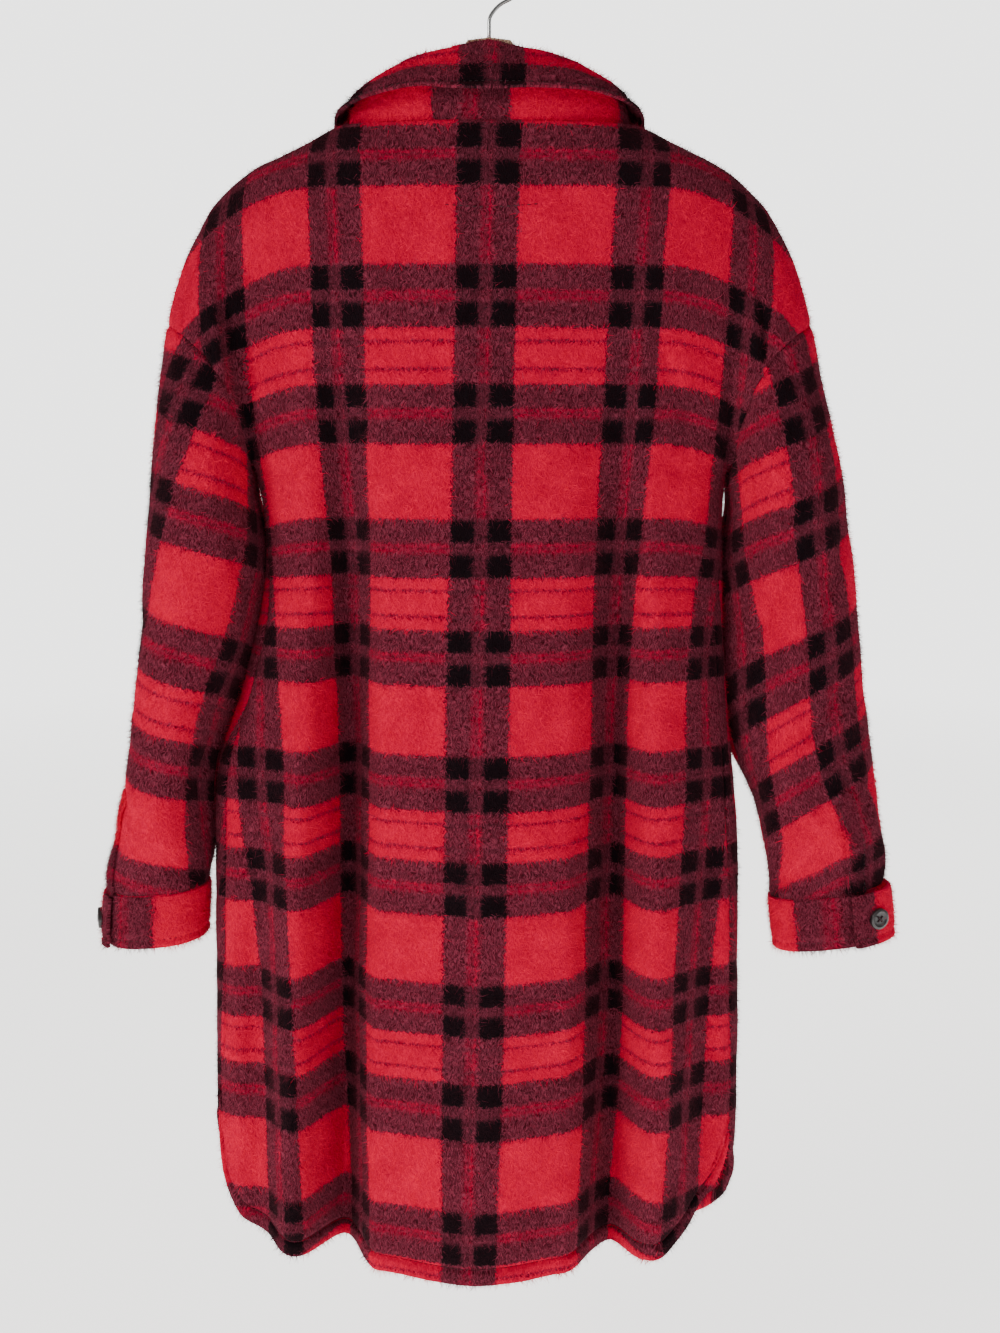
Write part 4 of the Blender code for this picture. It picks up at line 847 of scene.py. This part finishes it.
for side, name in (("l", "sleeveLeft"), ("r", "sleeveRight")):
    half = sleeveCut["half"] + 1
    around = np.concatenate((np.linspace(-1, 0, half), np.linspace(0, 1, half)[1:]))
    down = np.concatenate((np.linspace(0, 0.98, sleeveCut["capRows"]),
                           np.linspace(1, 2, sleeveCut["tubeRows"])))
    points = sleevePoints(side, around, down)
    uvs = sleevePlaidAt(side, points)
    axis = points.mean(axis=0, keepdims=True)
    normals = gridNormals(points, unit(points - axis))
    seam = unit(normals[0] + normals[-1])
    normals[0] = normals[-1] = seam
    arc = arcAround(points)
    fromHole = np.linalg.norm(points - points[:, :1], axis=2)
    fromCuff = np.linalg.norm(points - points[:, -1:], axis=2)
    fromSeam = (1 - np.abs(np.linspace(-1, 1, len(points))))[:, None] * sleeveCut["around"] / 2
    relief = strokes(arc, points[..., 2], sleeveCreases[side])
    relief += 1.5 * uneven(points, 55, 21) * smooth(fromSeam / 14) + 0.5 * uneven(points, 16, 25)
    rest = (arc - arc[0] - sleeveRest["in"] + arc[-1] / 2) % (arc[-1] - arc[0]) - arc[-1] / 2
    z = points[..., 2]
    low = smooth((sleeveRest["from"] - z) / 60) * smooth((z - sleeveRest["to"][side]) / 70)
    relief += sleeveRest["size"] * low * np.exp(-(rest / sleeveRest["wide"]) ** 2)
    gathers = 1.5 * np.sin(arc / 9.5 + 2 * uneven(points, 60, 4)) * smooth((48 - fromCuff) / 44)
    relief = (relief + gathers) * smooth(np.minimum(fromHole, fromCuff) / 18)
    relief -= panel["seamDip"] * (1 - smooth(np.minimum(fromHole, fromCuff) / panel["seamReach"]))
    relief[0] = relief[-1] = (relief[0] + relief[-1]) / 2
    points = points + normals * relief[..., None]
    points[0] = points[-1] = (points[0] + points[-1]) / 2
    drawIn(points, 1, 0, sleeveCut["spare"] / 2)
    sleeveGrids[side] = (points, uvs, normals, arc)
    piece, extras = clothPiece(name + "Cloth", ["sleeve_" + sideName[side]], points, uvs, normals,
                               sleeveCut["wall"], sleeveCut["hairs"], closed=True)

# Cuffs: a band that laps over itself, its upper end outermost
cuffCut = {"wall": 3.6, "height": 46.0, "lap": 28.0, "lift": 6.0, "ease": 1.0, "cells": 120,
           "stitch": 7.0,
           "liftRun": 45.0, "liftSpare": 5.0, "shift": 40.0, "t": 58.0, "hairs": 9000,
           "edge": 1.1, "stitchRow": 10}


def cuffAround(side):
    own = cuff[side]
    return 2 * math.pi * math.sqrt((own["half"] ** 2 + own["depth"] ** 2) / 2)


def cuffEdge(side, share):
    own, around = cuff[side], cuffAround(side)
    run = share * (around + cuffCut["lap"])
    angle = math.radians(own["slit"]) + 2 * math.pi * (run - cuffCut["lap"]) / around
    rise = cuffCut["lift"] * smooth((run - around + cuffCut["liftRun"] + cuffCut["liftSpare"])
                                    / cuffCut["liftRun"])
    power, sign = 2 / shape["round"], 1 if side == "l" else -1
    x = (own["half"] + cuffCut["ease"] + rise) * np.copysign(np.abs(np.cos(angle)) ** power,
                                                             np.cos(angle))
    y = (own["depth"] + cuffCut["ease"] + rise) * np.copysign(np.abs(np.sin(angle)) ** power,
                                                              np.sin(angle))
    z = own["z"] - 0.3 + x * math.tan(math.radians(own["tilt"]))
    return np.stack((own["x"] + sign * x, y, z), axis=-1), run


for side, name in (("l", "cuffLeft"), ("r", "cuffRight")):
    share = np.linspace(0, 1, cuffCut["cells"] + 1)
    top, run = cuffEdge(side, share)
    drops = np.array([0, 1.5, 4, 8, 13, 18, 24, 30, 34, 37.5, 38.6, 39.4, 41.5, 43.5, 45, 46])
    step = np.array((-cuff[side]["lean"], 0.0, -1.0))
    points = top[:, None] + drops[None, :, None] * step
    uvs = np.stack((run[:, None] - cuffCut["shift"] + 0 * drops, cuffCut["t"] + drops + 0 * run[:, None]),
                   axis=-1)
    normals = gridNormals(points, unit(points - points.mean(axis=(0, 1))))
    fromEdge = np.minimum(drops, cuffCut["height"] - drops)[None]
    groove = np.exp(-((cuffCut["height"] - drops - cuffCut["stitch"]) / 1.1) ** 2)[None]
    relief = 0.9 * uneven(points, 26, 31) + 0.4 * uneven(points, 9, 33)
    relief = relief - 1.5 * groove - 0.7 * (1 - smooth(fromEdge / 2.5))
    points = points + normals * relief[..., None]
    row = cuffCut["stitchRow"]
    line = points[:, row].copy(), normals[:, row].copy()
    piece, extras = clothPiece(name + "Cloth", ["cuff_" + sideName[side]], points, uvs, normals,
                               cuffCut["wall"],
                               cuffCut["hairs"], edge=cuffCut["edge"], bare=[row - 1, row, row + 1])
    extras.append(makeStitches(name + "Stitches", piece, *line))

# Plackets: the narrow band beside each sleeve slit, on the sleeve's own surface moved out
placket = {"wide": 16.0, "long": 92.0, "off": 0.5, "wall": 2.2, "slant": {"l": 4.0, "r": 20.0},
           "hairs": 2200,
           "edge": 0.7}
for side, name in (("l", "placketLeft"), ("r", "placketRight")):
    points, uvs, normals, arc = sleeveGrids[side]
    own, sign = cuff[side], 1 if side == "l" else -1
    backHalf = slice(len(points) // 2, None)
    target = own["x"] + sign * own["half"] * math.cos(math.radians(own["slit"]))
    column = int(np.argmin(np.abs(points[backHalf, -1, 0] - target)))
    slitArc = arc[backHalf][column, -1]
    offs = np.array([-1.0, -0.93, -0.8, -0.55, -0.3, -0.12, 0.0]) * placket["wide"]
    below = np.linalg.norm(points - points[:, -1:], axis=2)
    rows = [j for j in range(points.shape[1]) if below[len(points) // 2, j] < placket["long"]]
    strip, stripUv, stripN = [], [], []
    for off in offs:
        leans = placket["slant"][side] * below[len(points) // 2, rows] / placket["long"]
        cols = [np.interp(slitArc + off + up, arc[:, j], np.arange(len(points)))
                for j, up in zip(rows, leans)]
        lower = np.array(cols).astype(int)
        part = (np.array(cols) - lower)[:, None]
        for store, grid in ((strip, points), (stripUv, uvs), (stripN, normals)):
            store.append(grid[lower, rows] * (1 - part) + grid[lower + 1, rows] * part)
    stripN = unit(np.array(stripN))
    strip = np.array(strip) + stripN * (placket["off"] + placket["wall"])
    drawIn(strip, 1, -1, 0.6)
    stripUv = np.array(stripUv) + np.array((2.0, 1.0))
    edges = [(strip[1].copy(), stripN[1].copy()), (strip[-2].copy(), stripN[-2].copy())]
    piece, extras = clothPiece(name + "Cloth", ["sleeve_placket_" + sideName[side]], strip, stripUv,
                               stripN,
                               placket["wall"], placket["hairs"], edge=placket["edge"])
    for k, line in enumerate(edges):
        extras.append(makeStitches(f"{name}Stitches{k + 1}", piece, *line))

# Collar: rails from the centre back, share 0, round the shoulder, 0.5, to the centre front, 1
standTop = table("share out up back", (0, -1, 35, 0), (0.25, -2, 31, 0), (0.37, -3, 20, 0),
                 (0.5, -4, 10, 0), (0.75, 4, 14, 0), (1, 7, 15, 2))
foldLine = table("share out up back", (0, -1, 57, 0), (0.25, -4, 42, 0), (0.37, -5, 28, 0),
                 (0.5, -6, 17, 0), (0.75, 9, 28, 0), (1, 15, 24, 8))
leafEdge = table("share out up back", (0, 15, 19, 0), (0.25, 15, 18, 0), (0.5, 8, 4, 0),
                 (0.75, 30, -9, 26), (1, 22, -44, 72))
collar = {"cells": 90, "wall": 2.2, "leafWall": 2.4, "stitch": 5.0, "standS": -14.0, "standWide": 0.81,
          "leafS": 2.5,
          "standT": 60.0, "leafT": 18.5, "standHairs": 8000, "leafHairs": 22000, "leafBevel": 0.8}
upward = np.array((0, 0, 1.0))
neckBackLine, neckFrontLine = neckLine(True, "l"), neckLine(False, "l")


def neckLoop(share):
    share = np.asarray(share)
    return np.where((share < 0.5)[..., None], along(neckBackLine, np.minimum(share * 2, 1)),
                    along(neckFrontLine, np.clip(2 - share * 2, 0, 1)))


def outward(share):
    ahead = neckLoop(np.minimum(share + 0.12, 1)) - neckLoop(np.maximum(share - 0.12, 0))
    out = unit(np.stack((-ahead[..., 1], ahead[..., 0], 0 * share), axis=-1))
    out[0], out[-1] = (0, 1, 0), (0, -1, 0)
    return out


def rail(rows, share):
    out = outward(share)
    back = np.stack((-out[:, 1], out[:, 0], 0 * share), axis=-1)
    return (neckLoop(share) + out * read(rows, "out", share)[:, None] + back * read(rows, "back",
                                                                                    share)[:, None]
            + upward * read(rows, "up", share)[:, None])


def bothSides(points, uvs):
    flipped, flippedUv = points[:0:-1].copy(), uvs[:0:-1].copy()
    flipped[..., 0] *= -1
    flippedUv[..., 0] *= -1
    return np.concatenate((flipped, points)), np.concatenate((flippedUv, uvs))


share = np.linspace(0, 1, collar["cells"] + 1)
out = outward(share)
foot, head = neckLoop(share) - out * 2.6 - upward * 5.0, rail(standTop, share)
foot[-1, 0] += 2.0
downs = np.linspace(0, 1, 13)
points = head[:, None] * (1 - downs[None, :, None]) + foot[:, None] * downs[None, :, None]
points += out[:, None] * 0.8 * np.sin(np.pi * downs)[None, :, None]
uvs = np.stack((arcLengths(neckLoop(share))[:, None] + 0 * downs,
                collar["standT"] + 35 * downs + 0 * share[:, None]), axis=-1)
points, uvs = bothSides(points, uvs)
uvs[..., 0] = (uvs[..., 0] + collar["standS"]) * collar["standWide"]
hint = unit(points - points.mean(axis=(0, 1)) * np.array((1, 1, 0)) - np.array((0, 0, 1.0)) * points[...,
                                                                                                     2:])
normals = gridNormals(points, hint)
points = points + normals * (0.6 * uneven(points, 24, 41) + 0.3 * uneven(points, 8, 43))[..., None]
standCloth, standExtras = clothPiece("collarStandCloth", ["collar_stand"], points, uvs, normals,
                                     collar["wall"], collar["standHairs"])

foot, fold, edge = rail(standTop, share), rail(foldLine, share), rail(leafEdge, share)
foot = foot - out * 1.25 + upward * 2.2
over = [fold + out * a + upward * b for a, b in ((-4.0, -5.0), (-1.8, -0.8), (2.6, -0.8), (5.0, -5.0))]
belly = (over[-1] + edge) / 2 + out * 2.4
coarse = np.stack([foot, (foot + over[0]) / 2, *over, belly, edge], axis=1)
knots = np.array([0, 0.16, 0.34, 0.42, 0.5, 0.58, 0.78, 1.0])
fine = np.concatenate((np.linspace(0, 0.9, 34), [0.925, 0.95, 0.97, 0.985, 1.0]))
section = np.zeros((len(share), len(fine), 3))
rows = {"at": knots}
for i in range(len(share)):
    for k in range(3):
        rows["value"] = coarse[i, :, k]
        section[i, :, k] = read(rows, "value", fine)
fromEdge = np.cumsum(np.linalg.norm(np.diff(section[:, ::-1], axis=1), axis=2), axis=1)
fromEdge = np.concatenate((np.zeros((len(share), 1)), fromEdge), axis=1)[:, ::-1]
girth = arcLengths(section[:, 20])
uvs = np.stack((girth[:, None] + 0 * fromEdge, collar["leafT"] - fromEdge), axis=-1)
points, uvs = bothSides(section, uvs)
uvs[..., 0] += collar["leafS"]
fromEdge = np.concatenate((fromEdge[:0:-1], fromEdge))
normals = unit(np.cross(np.gradient(points, axis=0), np.gradient(points, axis=1)))
normals *= np.sign(np.sum(normals[:, -6] * np.concatenate((out[:0:-1] * np.array((-1, 1, 1)), out))))
wave = 1.6 * uneven(points, 34, 51) + 0.5 * uneven(points, 10, 53)
groove = -1.7 * np.exp(-((fromEdge - collar["stitch"]) / 1.5) ** 2) + 1.0 * smooth((4.5 - fromEdge) / 2)
relief = wave * smooth(fromEdge / 4 + 0.3) + groove + collar["leafWall"] / 2
middlePoints = points + normals * relief[..., None]
row = int(np.argmin(np.abs(fromEdge.mean(axis=0) - collar["stitch"])))
lineAt = middlePoints[:, row].copy(), normals[:, row].copy()
leafCloth, leafExtras = clothPiece("collarLeafCloth", ["collar_leaf"], middlePoints, uvs, normals,
                                   collar["leafWall"], collar["leafHairs"], edge=collar["leafBevel"],
                                   bare=[row - 1, row, row + 1])
leafExtras.append(makeStitches("collarStitches", leafCloth, *lineAt))

# Front band: two layers laid over the front edges
band = {"wall": 2.8, "lift": 0.6, "rows": 150, "hairs": 6000, "edge": 0.9, "stitchAt": 12.4}
offs = np.array([-17, -15.8, -13.4, -12.4, -11.4, -7, -2, 2, 7, 11.4, 12.4, 13.4, 15.8, 17])
zs = np.linspace(shape["neckFront"] - 3.2, shape["hemFront"] + 0.6, band["rows"])
hipRings = {s: [bodyRing(z, False, s) for z in zs] for s in "lr"}
points = np.zeros((len(offs), len(zs), 3))
for j, z in enumerate(zs):
    x = centre(z) + offs
    if z > shape["underarm"]:
        y = -yokeDepth(x, np.full(len(x), z), False, "l")
    else:
        ring = np.vstack((hipRings["r"][j][:0:-1], hipRings["l"][j]))
        y = np.interp(x, ring[:, 0], ring[:, 1])
    points[:, j] = np.stack((x, y, np.full(len(x), z)), axis=1)
normals = gridNormals(points, np.array((0, -1.0, 0)))
groove = np.exp(-((np.abs(offs) - band["stitchAt"]) / 1.1) ** 2)[:, None]
relief = band["lift"] + band["wall"] + 0.9 * uneven(points, 30, 61) * 0.6 - 0.8 * groove
points = points + normals * relief[..., None]
uvs = np.stack((offs[:, None] + 62.5 + 0 * zs, weftAt(points[..., 0], points[..., 2]) + 1.5), axis=-1)
lines = [(points[k].copy(), normals[k].copy()) for k in (3, -4)]
bandCloth, bandExtras = clothPiece("frontBandCloth", ["front_band"], points, uvs, normals, band["wall"],
                                   band["hairs"], edge=band["edge"])
for k, line in enumerate(lines):
    bandExtras.append(makeStitches(f"frontBandStitches{k + 1}", bandCloth, *line))

# Pocket facings behind the slits in the side seams
pocket = {"reach": 16.0, "depth": 2.5, "clear": 2.4, "wall": 2.2, "hairs": 700, "edge": 0.6}
for side, name in (("l", "pocketLeft"), ("r", "pocketRight")):
    sign = 1 if side == "l" else -1
    zs = np.linspace(pocketSlit["top"], pocketSlit["top"] - pocketSlit["length"], 28)
    offs = np.linspace(-pocket["reach"], pocket["reach"], 13)
    points = np.zeros((len(offs), len(zs), 3))
    for j, z in enumerate(zs):
        backRing, frontRing = bodyRing(z, True, side), bodyRing(z, False, side)
        path = np.vstack((backRing, frontRing[-2::-1]))
        lengths = arcLengths(path)
        seam = lengths[len(backRing) - 1]
        points[:, j] = along(path, (seam + offs) / lengths[-1])
    normals = gridNormals(points, np.array((sign, 0.3, 0)))
    points = points - normals * (pocket["depth"] + pocket["clear"])
    uvs = np.stack((offs[:, None] + 20 + 0 * zs, weftAt(0 * zs, zs)[None] + 0 * offs[:, None]), axis=-1)
    piece, extras = clothPiece(name + "Cloth", ["pocket_" + sideName[side]], points, uvs, normals,
                               pocket["wall"], pocket["hairs"], edge=pocket["edge"])
print("cloth made")

# Buttons: one is turned and drilled, then copied to each place with its own mesh
button = {"across": 18.0, "thick": 3.4, "hole": 1.1, "holeRing": 2.3}


def twoTone(tree, value, ends, colors):
    node = tree.nodes.new("ShaderNodeValToRGB")
    for element, position, color in zip(node.color_ramp.elements, ends, colors):
        element.position = position
        element.color = (*color, 1)
    tree.links.new(value, node.inputs["Fac"])
    return node.outputs["Color"]


def hornMaterial():
    made, tree, shader = makeMaterial("darkHorn", (0.03, 0.024, 0.024), 0.3, Coat_Weight=0.12,
                                      Coat_Roughness=0.2)
    coords = tree.nodes.new("ShaderNodeTexCoord")
    streak = noiseNode(tree, coords.outputs["Object"], 160.0, 4.0, (1, 1, 0.35))
    tone = twoTone(tree, streak, (0.35, 0.75), ((0.006, 0.005, 0.006), (0.05, 0.04, 0.038)))
    tree.links.new(tone, shader.inputs["Base Color"])
    rough = mathNode(tree, "ADD", mathNode(tree, "MULTIPLY", streak, 0.25), 0.2)
    tree.links.new(rough, shader.inputs["Roughness"])
    return made


horn = hornMaterial()


def modelButton():
    bpy.ops.object.select_all(action="DESELECT")
    bpy.ops.mesh.primitive_cylinder_add(vertices=40, radius=button["across"] / 2 * mm,
                                        depth=button["thick"] * mm)
    made = bpy.context.active_object
    made.name = "buttonModel"
    bpy.ops.object.mode_set(mode="EDIT")
    bpy.ops.mesh.select_all(action="DESELECT")
    bpy.ops.object.mode_set(mode="OBJECT")
    for face in made.data.polygons:
        face.select = face.normal.z > 0.9
    bpy.ops.object.mode_set(mode="EDIT")
    bpy.ops.mesh.inset(thickness=2.1 * mm, depth=0.35 * mm)
    bpy.ops.mesh.inset(thickness=1.0 * mm, depth=-0.75 * mm)
    bpy.ops.mesh.inset(thickness=1.6 * mm, depth=-0.15 * mm)
    bpy.ops.object.mode_set(mode="OBJECT")
    applyModifier(made, "BEVEL", width=0.5 * mm, segments=3, limit_method="ANGLE",
                  angle_limit=math.radians(50))
    for k in range(4):
        angle = math.radians(45 + 90 * k)
        bpy.ops.object.select_all(action="DESELECT")
        bpy.ops.mesh.primitive_cylinder_add(
            vertices=14, radius=button["hole"] * mm, depth=3 * button["thick"] * mm,
            location=(button["holeRing"] * math.cos(angle) * mm,
                      button["holeRing"] * math.sin(angle) * mm, 0))
        drill = bpy.context.active_object
        applyModifier(made, "BOOLEAN", object=drill, operation="DIFFERENCE", solver="EXACT")
        bpy.data.objects.remove(drill)
    active(made)
    bpy.ops.object.shade_smooth_by_angle(angle=math.radians(35))
    made.data.materials.clear()
    made.data.materials.append(horn)
    return made


def modelCross():
    # the thread that holds a button: two bars across its holes
    bars = []
    for k in range(2):
        bpy.ops.object.select_all(action="DESELECT")
        bpy.ops.mesh.primitive_cylinder_add(vertices=10, radius=0.55 * mm,
                                            depth=2.9 * button["holeRing"] * mm)
        bar = bpy.context.active_object
        bar.data.transform(Matrix.Rotation(math.pi / 2, 4, "Y"))
        bar.data.transform(Matrix.Rotation(math.radians(45 + 90 * k), 4, "Z"))
        bar.data.transform(Matrix.Translation((0, 0, (1.75 + 0.35 * k) * mm)))
        bars.append(bar)
    bpy.ops.object.select_all(action="DESELECT")
    for bar in bars:
        bar.select_set(True)
    bpy.context.view_layer.objects.active = bars[0]
    bpy.ops.object.join()
    cross = bpy.context.active_object
    cross.name = "crossModel"
    active(cross)
    bpy.ops.object.shade_smooth()
    cross.data.materials.clear()
    cross.data.materials.append(thread)
    return cross


buttonModel, crossModel = modelButton(), modelCross()
buttonNodes = [f"front_button_{k + 1}" for k in range(6)] + ["cuff_button_left", "cuff_button_right"]
for node in buttonNodes:
    corners = np.array([v.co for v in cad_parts[node].data.vertices])
    middle = (corners.min(axis=0) + corners.max(axis=0)) / 2
    flat = np.linalg.svd(corners - corners.mean(axis=0), full_matrices=False)[2][2]
    if node.startswith("front"):
        outside = np.array((0, -1.0, 0))
    else:
        own = cuff["l" if "left" in node else "r"]
        outside = middle - np.array((own["x"] * mm, 0, middle[2]))
    flat = flat * np.sign(flat @ outside)
    turn = Vector(flat).to_track_quat("Z", "Y").to_matrix().to_4x4()
    name = "".join(word.capitalize() for word in node.split("_"))
    name = name[0].lower() + name[1:]
    made = buttonModel.copy()
    made.data = buttonModel.data.copy()
    made.name = name
    made.data.transform(Matrix.Translation(middle) @ turn)
    bpy.context.scene.collection.objects.link(made)
    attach(made, "root")
    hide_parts(node)
    cross = crossModel.copy()
    cross.data = crossModel.data.copy()
    cross.name = name + "Thread"
    cross.data.transform(Matrix.Translation(middle) @ turn)
    bpy.context.scene.collection.objects.link(cross)
    cross.parent = made
for model in (buttonModel, crossModel):
    bpy.data.objects.remove(model)
print("buttons made")

# Hanger: the bar keeps its CAD form and gets a wood grain, the hook is bent anew from round wire
hook = {"wire": 3.0, "inside": 20.0, "stem": [(0, -74), (0, -66), (0, -58), (0, -52), (0, -48.5)],
        "neck": [(-0.8, -45.3), (-4.2, -40.6), (-9.3, -35.9)]}


def woodMaterial():
    made, tree, shader = makeMaterial("paleWood", (0.55, 0.36, 0.22), 0.42, Coat_Weight=0.25,
                                      Coat_Roughness=0.25)
    coords = tree.nodes.new("ShaderNodeTexCoord")
    grain = noiseNode(tree, coords.outputs["Object"], 1.0, 5.0, (14, 160, 160))
    tone = twoTone(tree, grain, (0.35, 0.66), ((0.36, 0.22, 0.125), (0.62, 0.44, 0.29)))
    tree.links.new(tone, shader.inputs["Base Color"])
    bump = tree.nodes.new("ShaderNodeBump")
    bump.inputs["Strength"].default_value = 0.25
    bump.inputs["Distance"].default_value = 0.0003
    tree.links.new(grain, bump.inputs["Height"])
    tree.links.new(bump.outputs["Normal"], shader.inputs["Normal"])
    return made


def steelMaterial():
    made, tree, shader = makeMaterial("brightSteel", (0.36, 0.36, 0.355), 0.22, 1.0)
    coords = tree.nodes.new("ShaderNodeTexCoord")
    wear = noiseNode(tree, coords.outputs["Object"], 900.0, 3.0)
    rough = mathNode(tree, "ADD", mathNode(tree, "MULTIPLY", wear, 0.2), 0.12)
    tree.links.new(rough, shader.inputs["Roughness"])
    return made


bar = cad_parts["hanger_bar"]
bar.data.materials.clear()
bar.data.materials.append(woodMaterial())
reach = hook["inside"] + hook["wire"] / 2
path = hook["stem"] + hook["neck"]
path += [(reach * math.cos(math.radians(a)), -hook["inside"] + reach
          * math.sin(math.radians(a))) for a in range(215, -27, -6)]
curve = bpy.data.curves.new("hookWire", "CURVE")
curve.dimensions = "3D"
curve.bevel_depth = hook["wire"] / 2 * mm
curve.bevel_resolution = 5
curve.use_fill_caps = True
spline = curve.splines.new("NURBS")
spline.points.add(len(path) - 1)
for point, (x, z) in zip(spline.points, path):
    point.co = (x * mm, 0, z * mm, 1)
spline.order_u = 3
spline.use_endpoint_u = True
spline.resolution_u = 4
hookWire = bpy.data.objects.new("hookWire", curve)
bpy.context.scene.collection.objects.link(hookWire)
active(hookWire)
bpy.ops.object.convert(target="MESH")
hookWire = bpy.context.active_object
bpy.ops.object.shade_smooth_by_angle(angle=math.radians(40))
hookWire.data.materials.clear()
hookWire.data.materials.append(steelMaterial())
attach(hookWire, "root")
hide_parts("hanger_hook")
print("hanger made")

# Floor, light and camera
stage = {"floorZ": -1.30, "floorAcross": 9.0, "floorColor": (0.80, 0.79, 0.775),
         "world": (0.86, 0.855, 0.845), "worldStrength": 0.36, "seenStrength": 3.4, "floorGlow": 2.45}


def addFloor():
    bpy.ops.object.select_all(action="DESELECT")
    bpy.ops.mesh.primitive_circle_add(vertices=96, radius=stage["floorAcross"] / 2, fill_type="NGON",
                                      location=(0, 0, stage["floorZ"]))
    floor = bpy.context.active_object
    floor.name = "floor"
    made, tree, shader = makeMaterial("paleFloor", stage["floorColor"], 0.9)
    coords = tree.nodes.new("ShaderNodeTexCoord")
    gradient = tree.nodes.new("ShaderNodeTexGradient")
    gradient.gradient_type = "SPHERICAL"
    mapping = tree.nodes.new("ShaderNodeMapping")
    scale = 2 / stage["floorAcross"]
    mapping.inputs["Scale"].default_value = (scale, scale, scale)
    tree.links.new(coords.outputs["Object"], mapping.inputs["Vector"])
    tree.links.new(mapping.outputs["Vector"], gradient.inputs["Vector"])
    fade = mathNode(tree, "MULTIPLY", gradient.outputs["Fac"], 1.6)
    tree.links.new(mathNode(tree, "MINIMUM", fade, 1.0), shader.inputs["Alpha"])
    shader.inputs["Emission Color"].default_value = (*stage["floorColor"], 1)
    shader.inputs["Emission Strength"].default_value = stage["floorGlow"]
    floor.data.materials.append(made)


def addLight(name, place, aim, size, power, color=(1, 1, 1)):
    data = bpy.data.lights.new(name, "AREA")
    data.shape = "DISK"
    data.size = size
    data.energy = power
    data.color = color
    lamp = bpy.data.objects.new(name, data)
    bpy.context.scene.collection.objects.link(lamp)
    lamp.location = place
    lamp.rotation_mode = "QUATERNION"
    lamp.rotation_quaternion = (Vector(aim) - Vector(place)).to_track_quat("-Z", "Y")


addFloor()
world = bpy.data.worlds.new("paleWorld")
world.use_nodes = True
world.node_tree.nodes["Background"].inputs["Color"].default_value = (*stage["world"], 1)
rays = world.node_tree.nodes.new("ShaderNodeLightPath")
extra = stage["seenStrength"] - stage["worldStrength"]
strength = mathNode(world.node_tree, "MULTIPLY", rays.outputs["Is Camera Ray"], extra)
strength = mathNode(world.node_tree, "ADD", strength, stage["worldStrength"])
world.node_tree.links.new(strength, world.node_tree.nodes["Background"].inputs["Strength"])
bpy.context.scene.world = world
addLight("keyLight", (1.9, 1.5, 0.5), (0, 0, -0.55), 1.0, 40, (1, 0.985, 0.96))
addLight("fillLight", (-1.7, 1.9, 0.4), (0, 0, -0.6), 1.6, 7)
addLight("frontLight", (-0.8, -2.2, 0.6), (0, 0, -0.55), 1.5, 27)

camera = bpy.data.cameras.new("photoCamera")
camera.sensor_width = 36
camera.lens = 1400 / 1333 * 36
view = bpy.data.objects.new("photoCamera", camera)
bpy.context.scene.collection.objects.link(view)
view.matrix_world = (Matrix.Translation((-0.0085, 1.170, -0.390)) @ Matrix.Rotation(math.pi, 4, "Z")
                     @ Matrix.Rotation(math.pi / 2 - math.radians(8.5), 4, "X"))
bpy.context.scene.camera = view
print("stage ready")
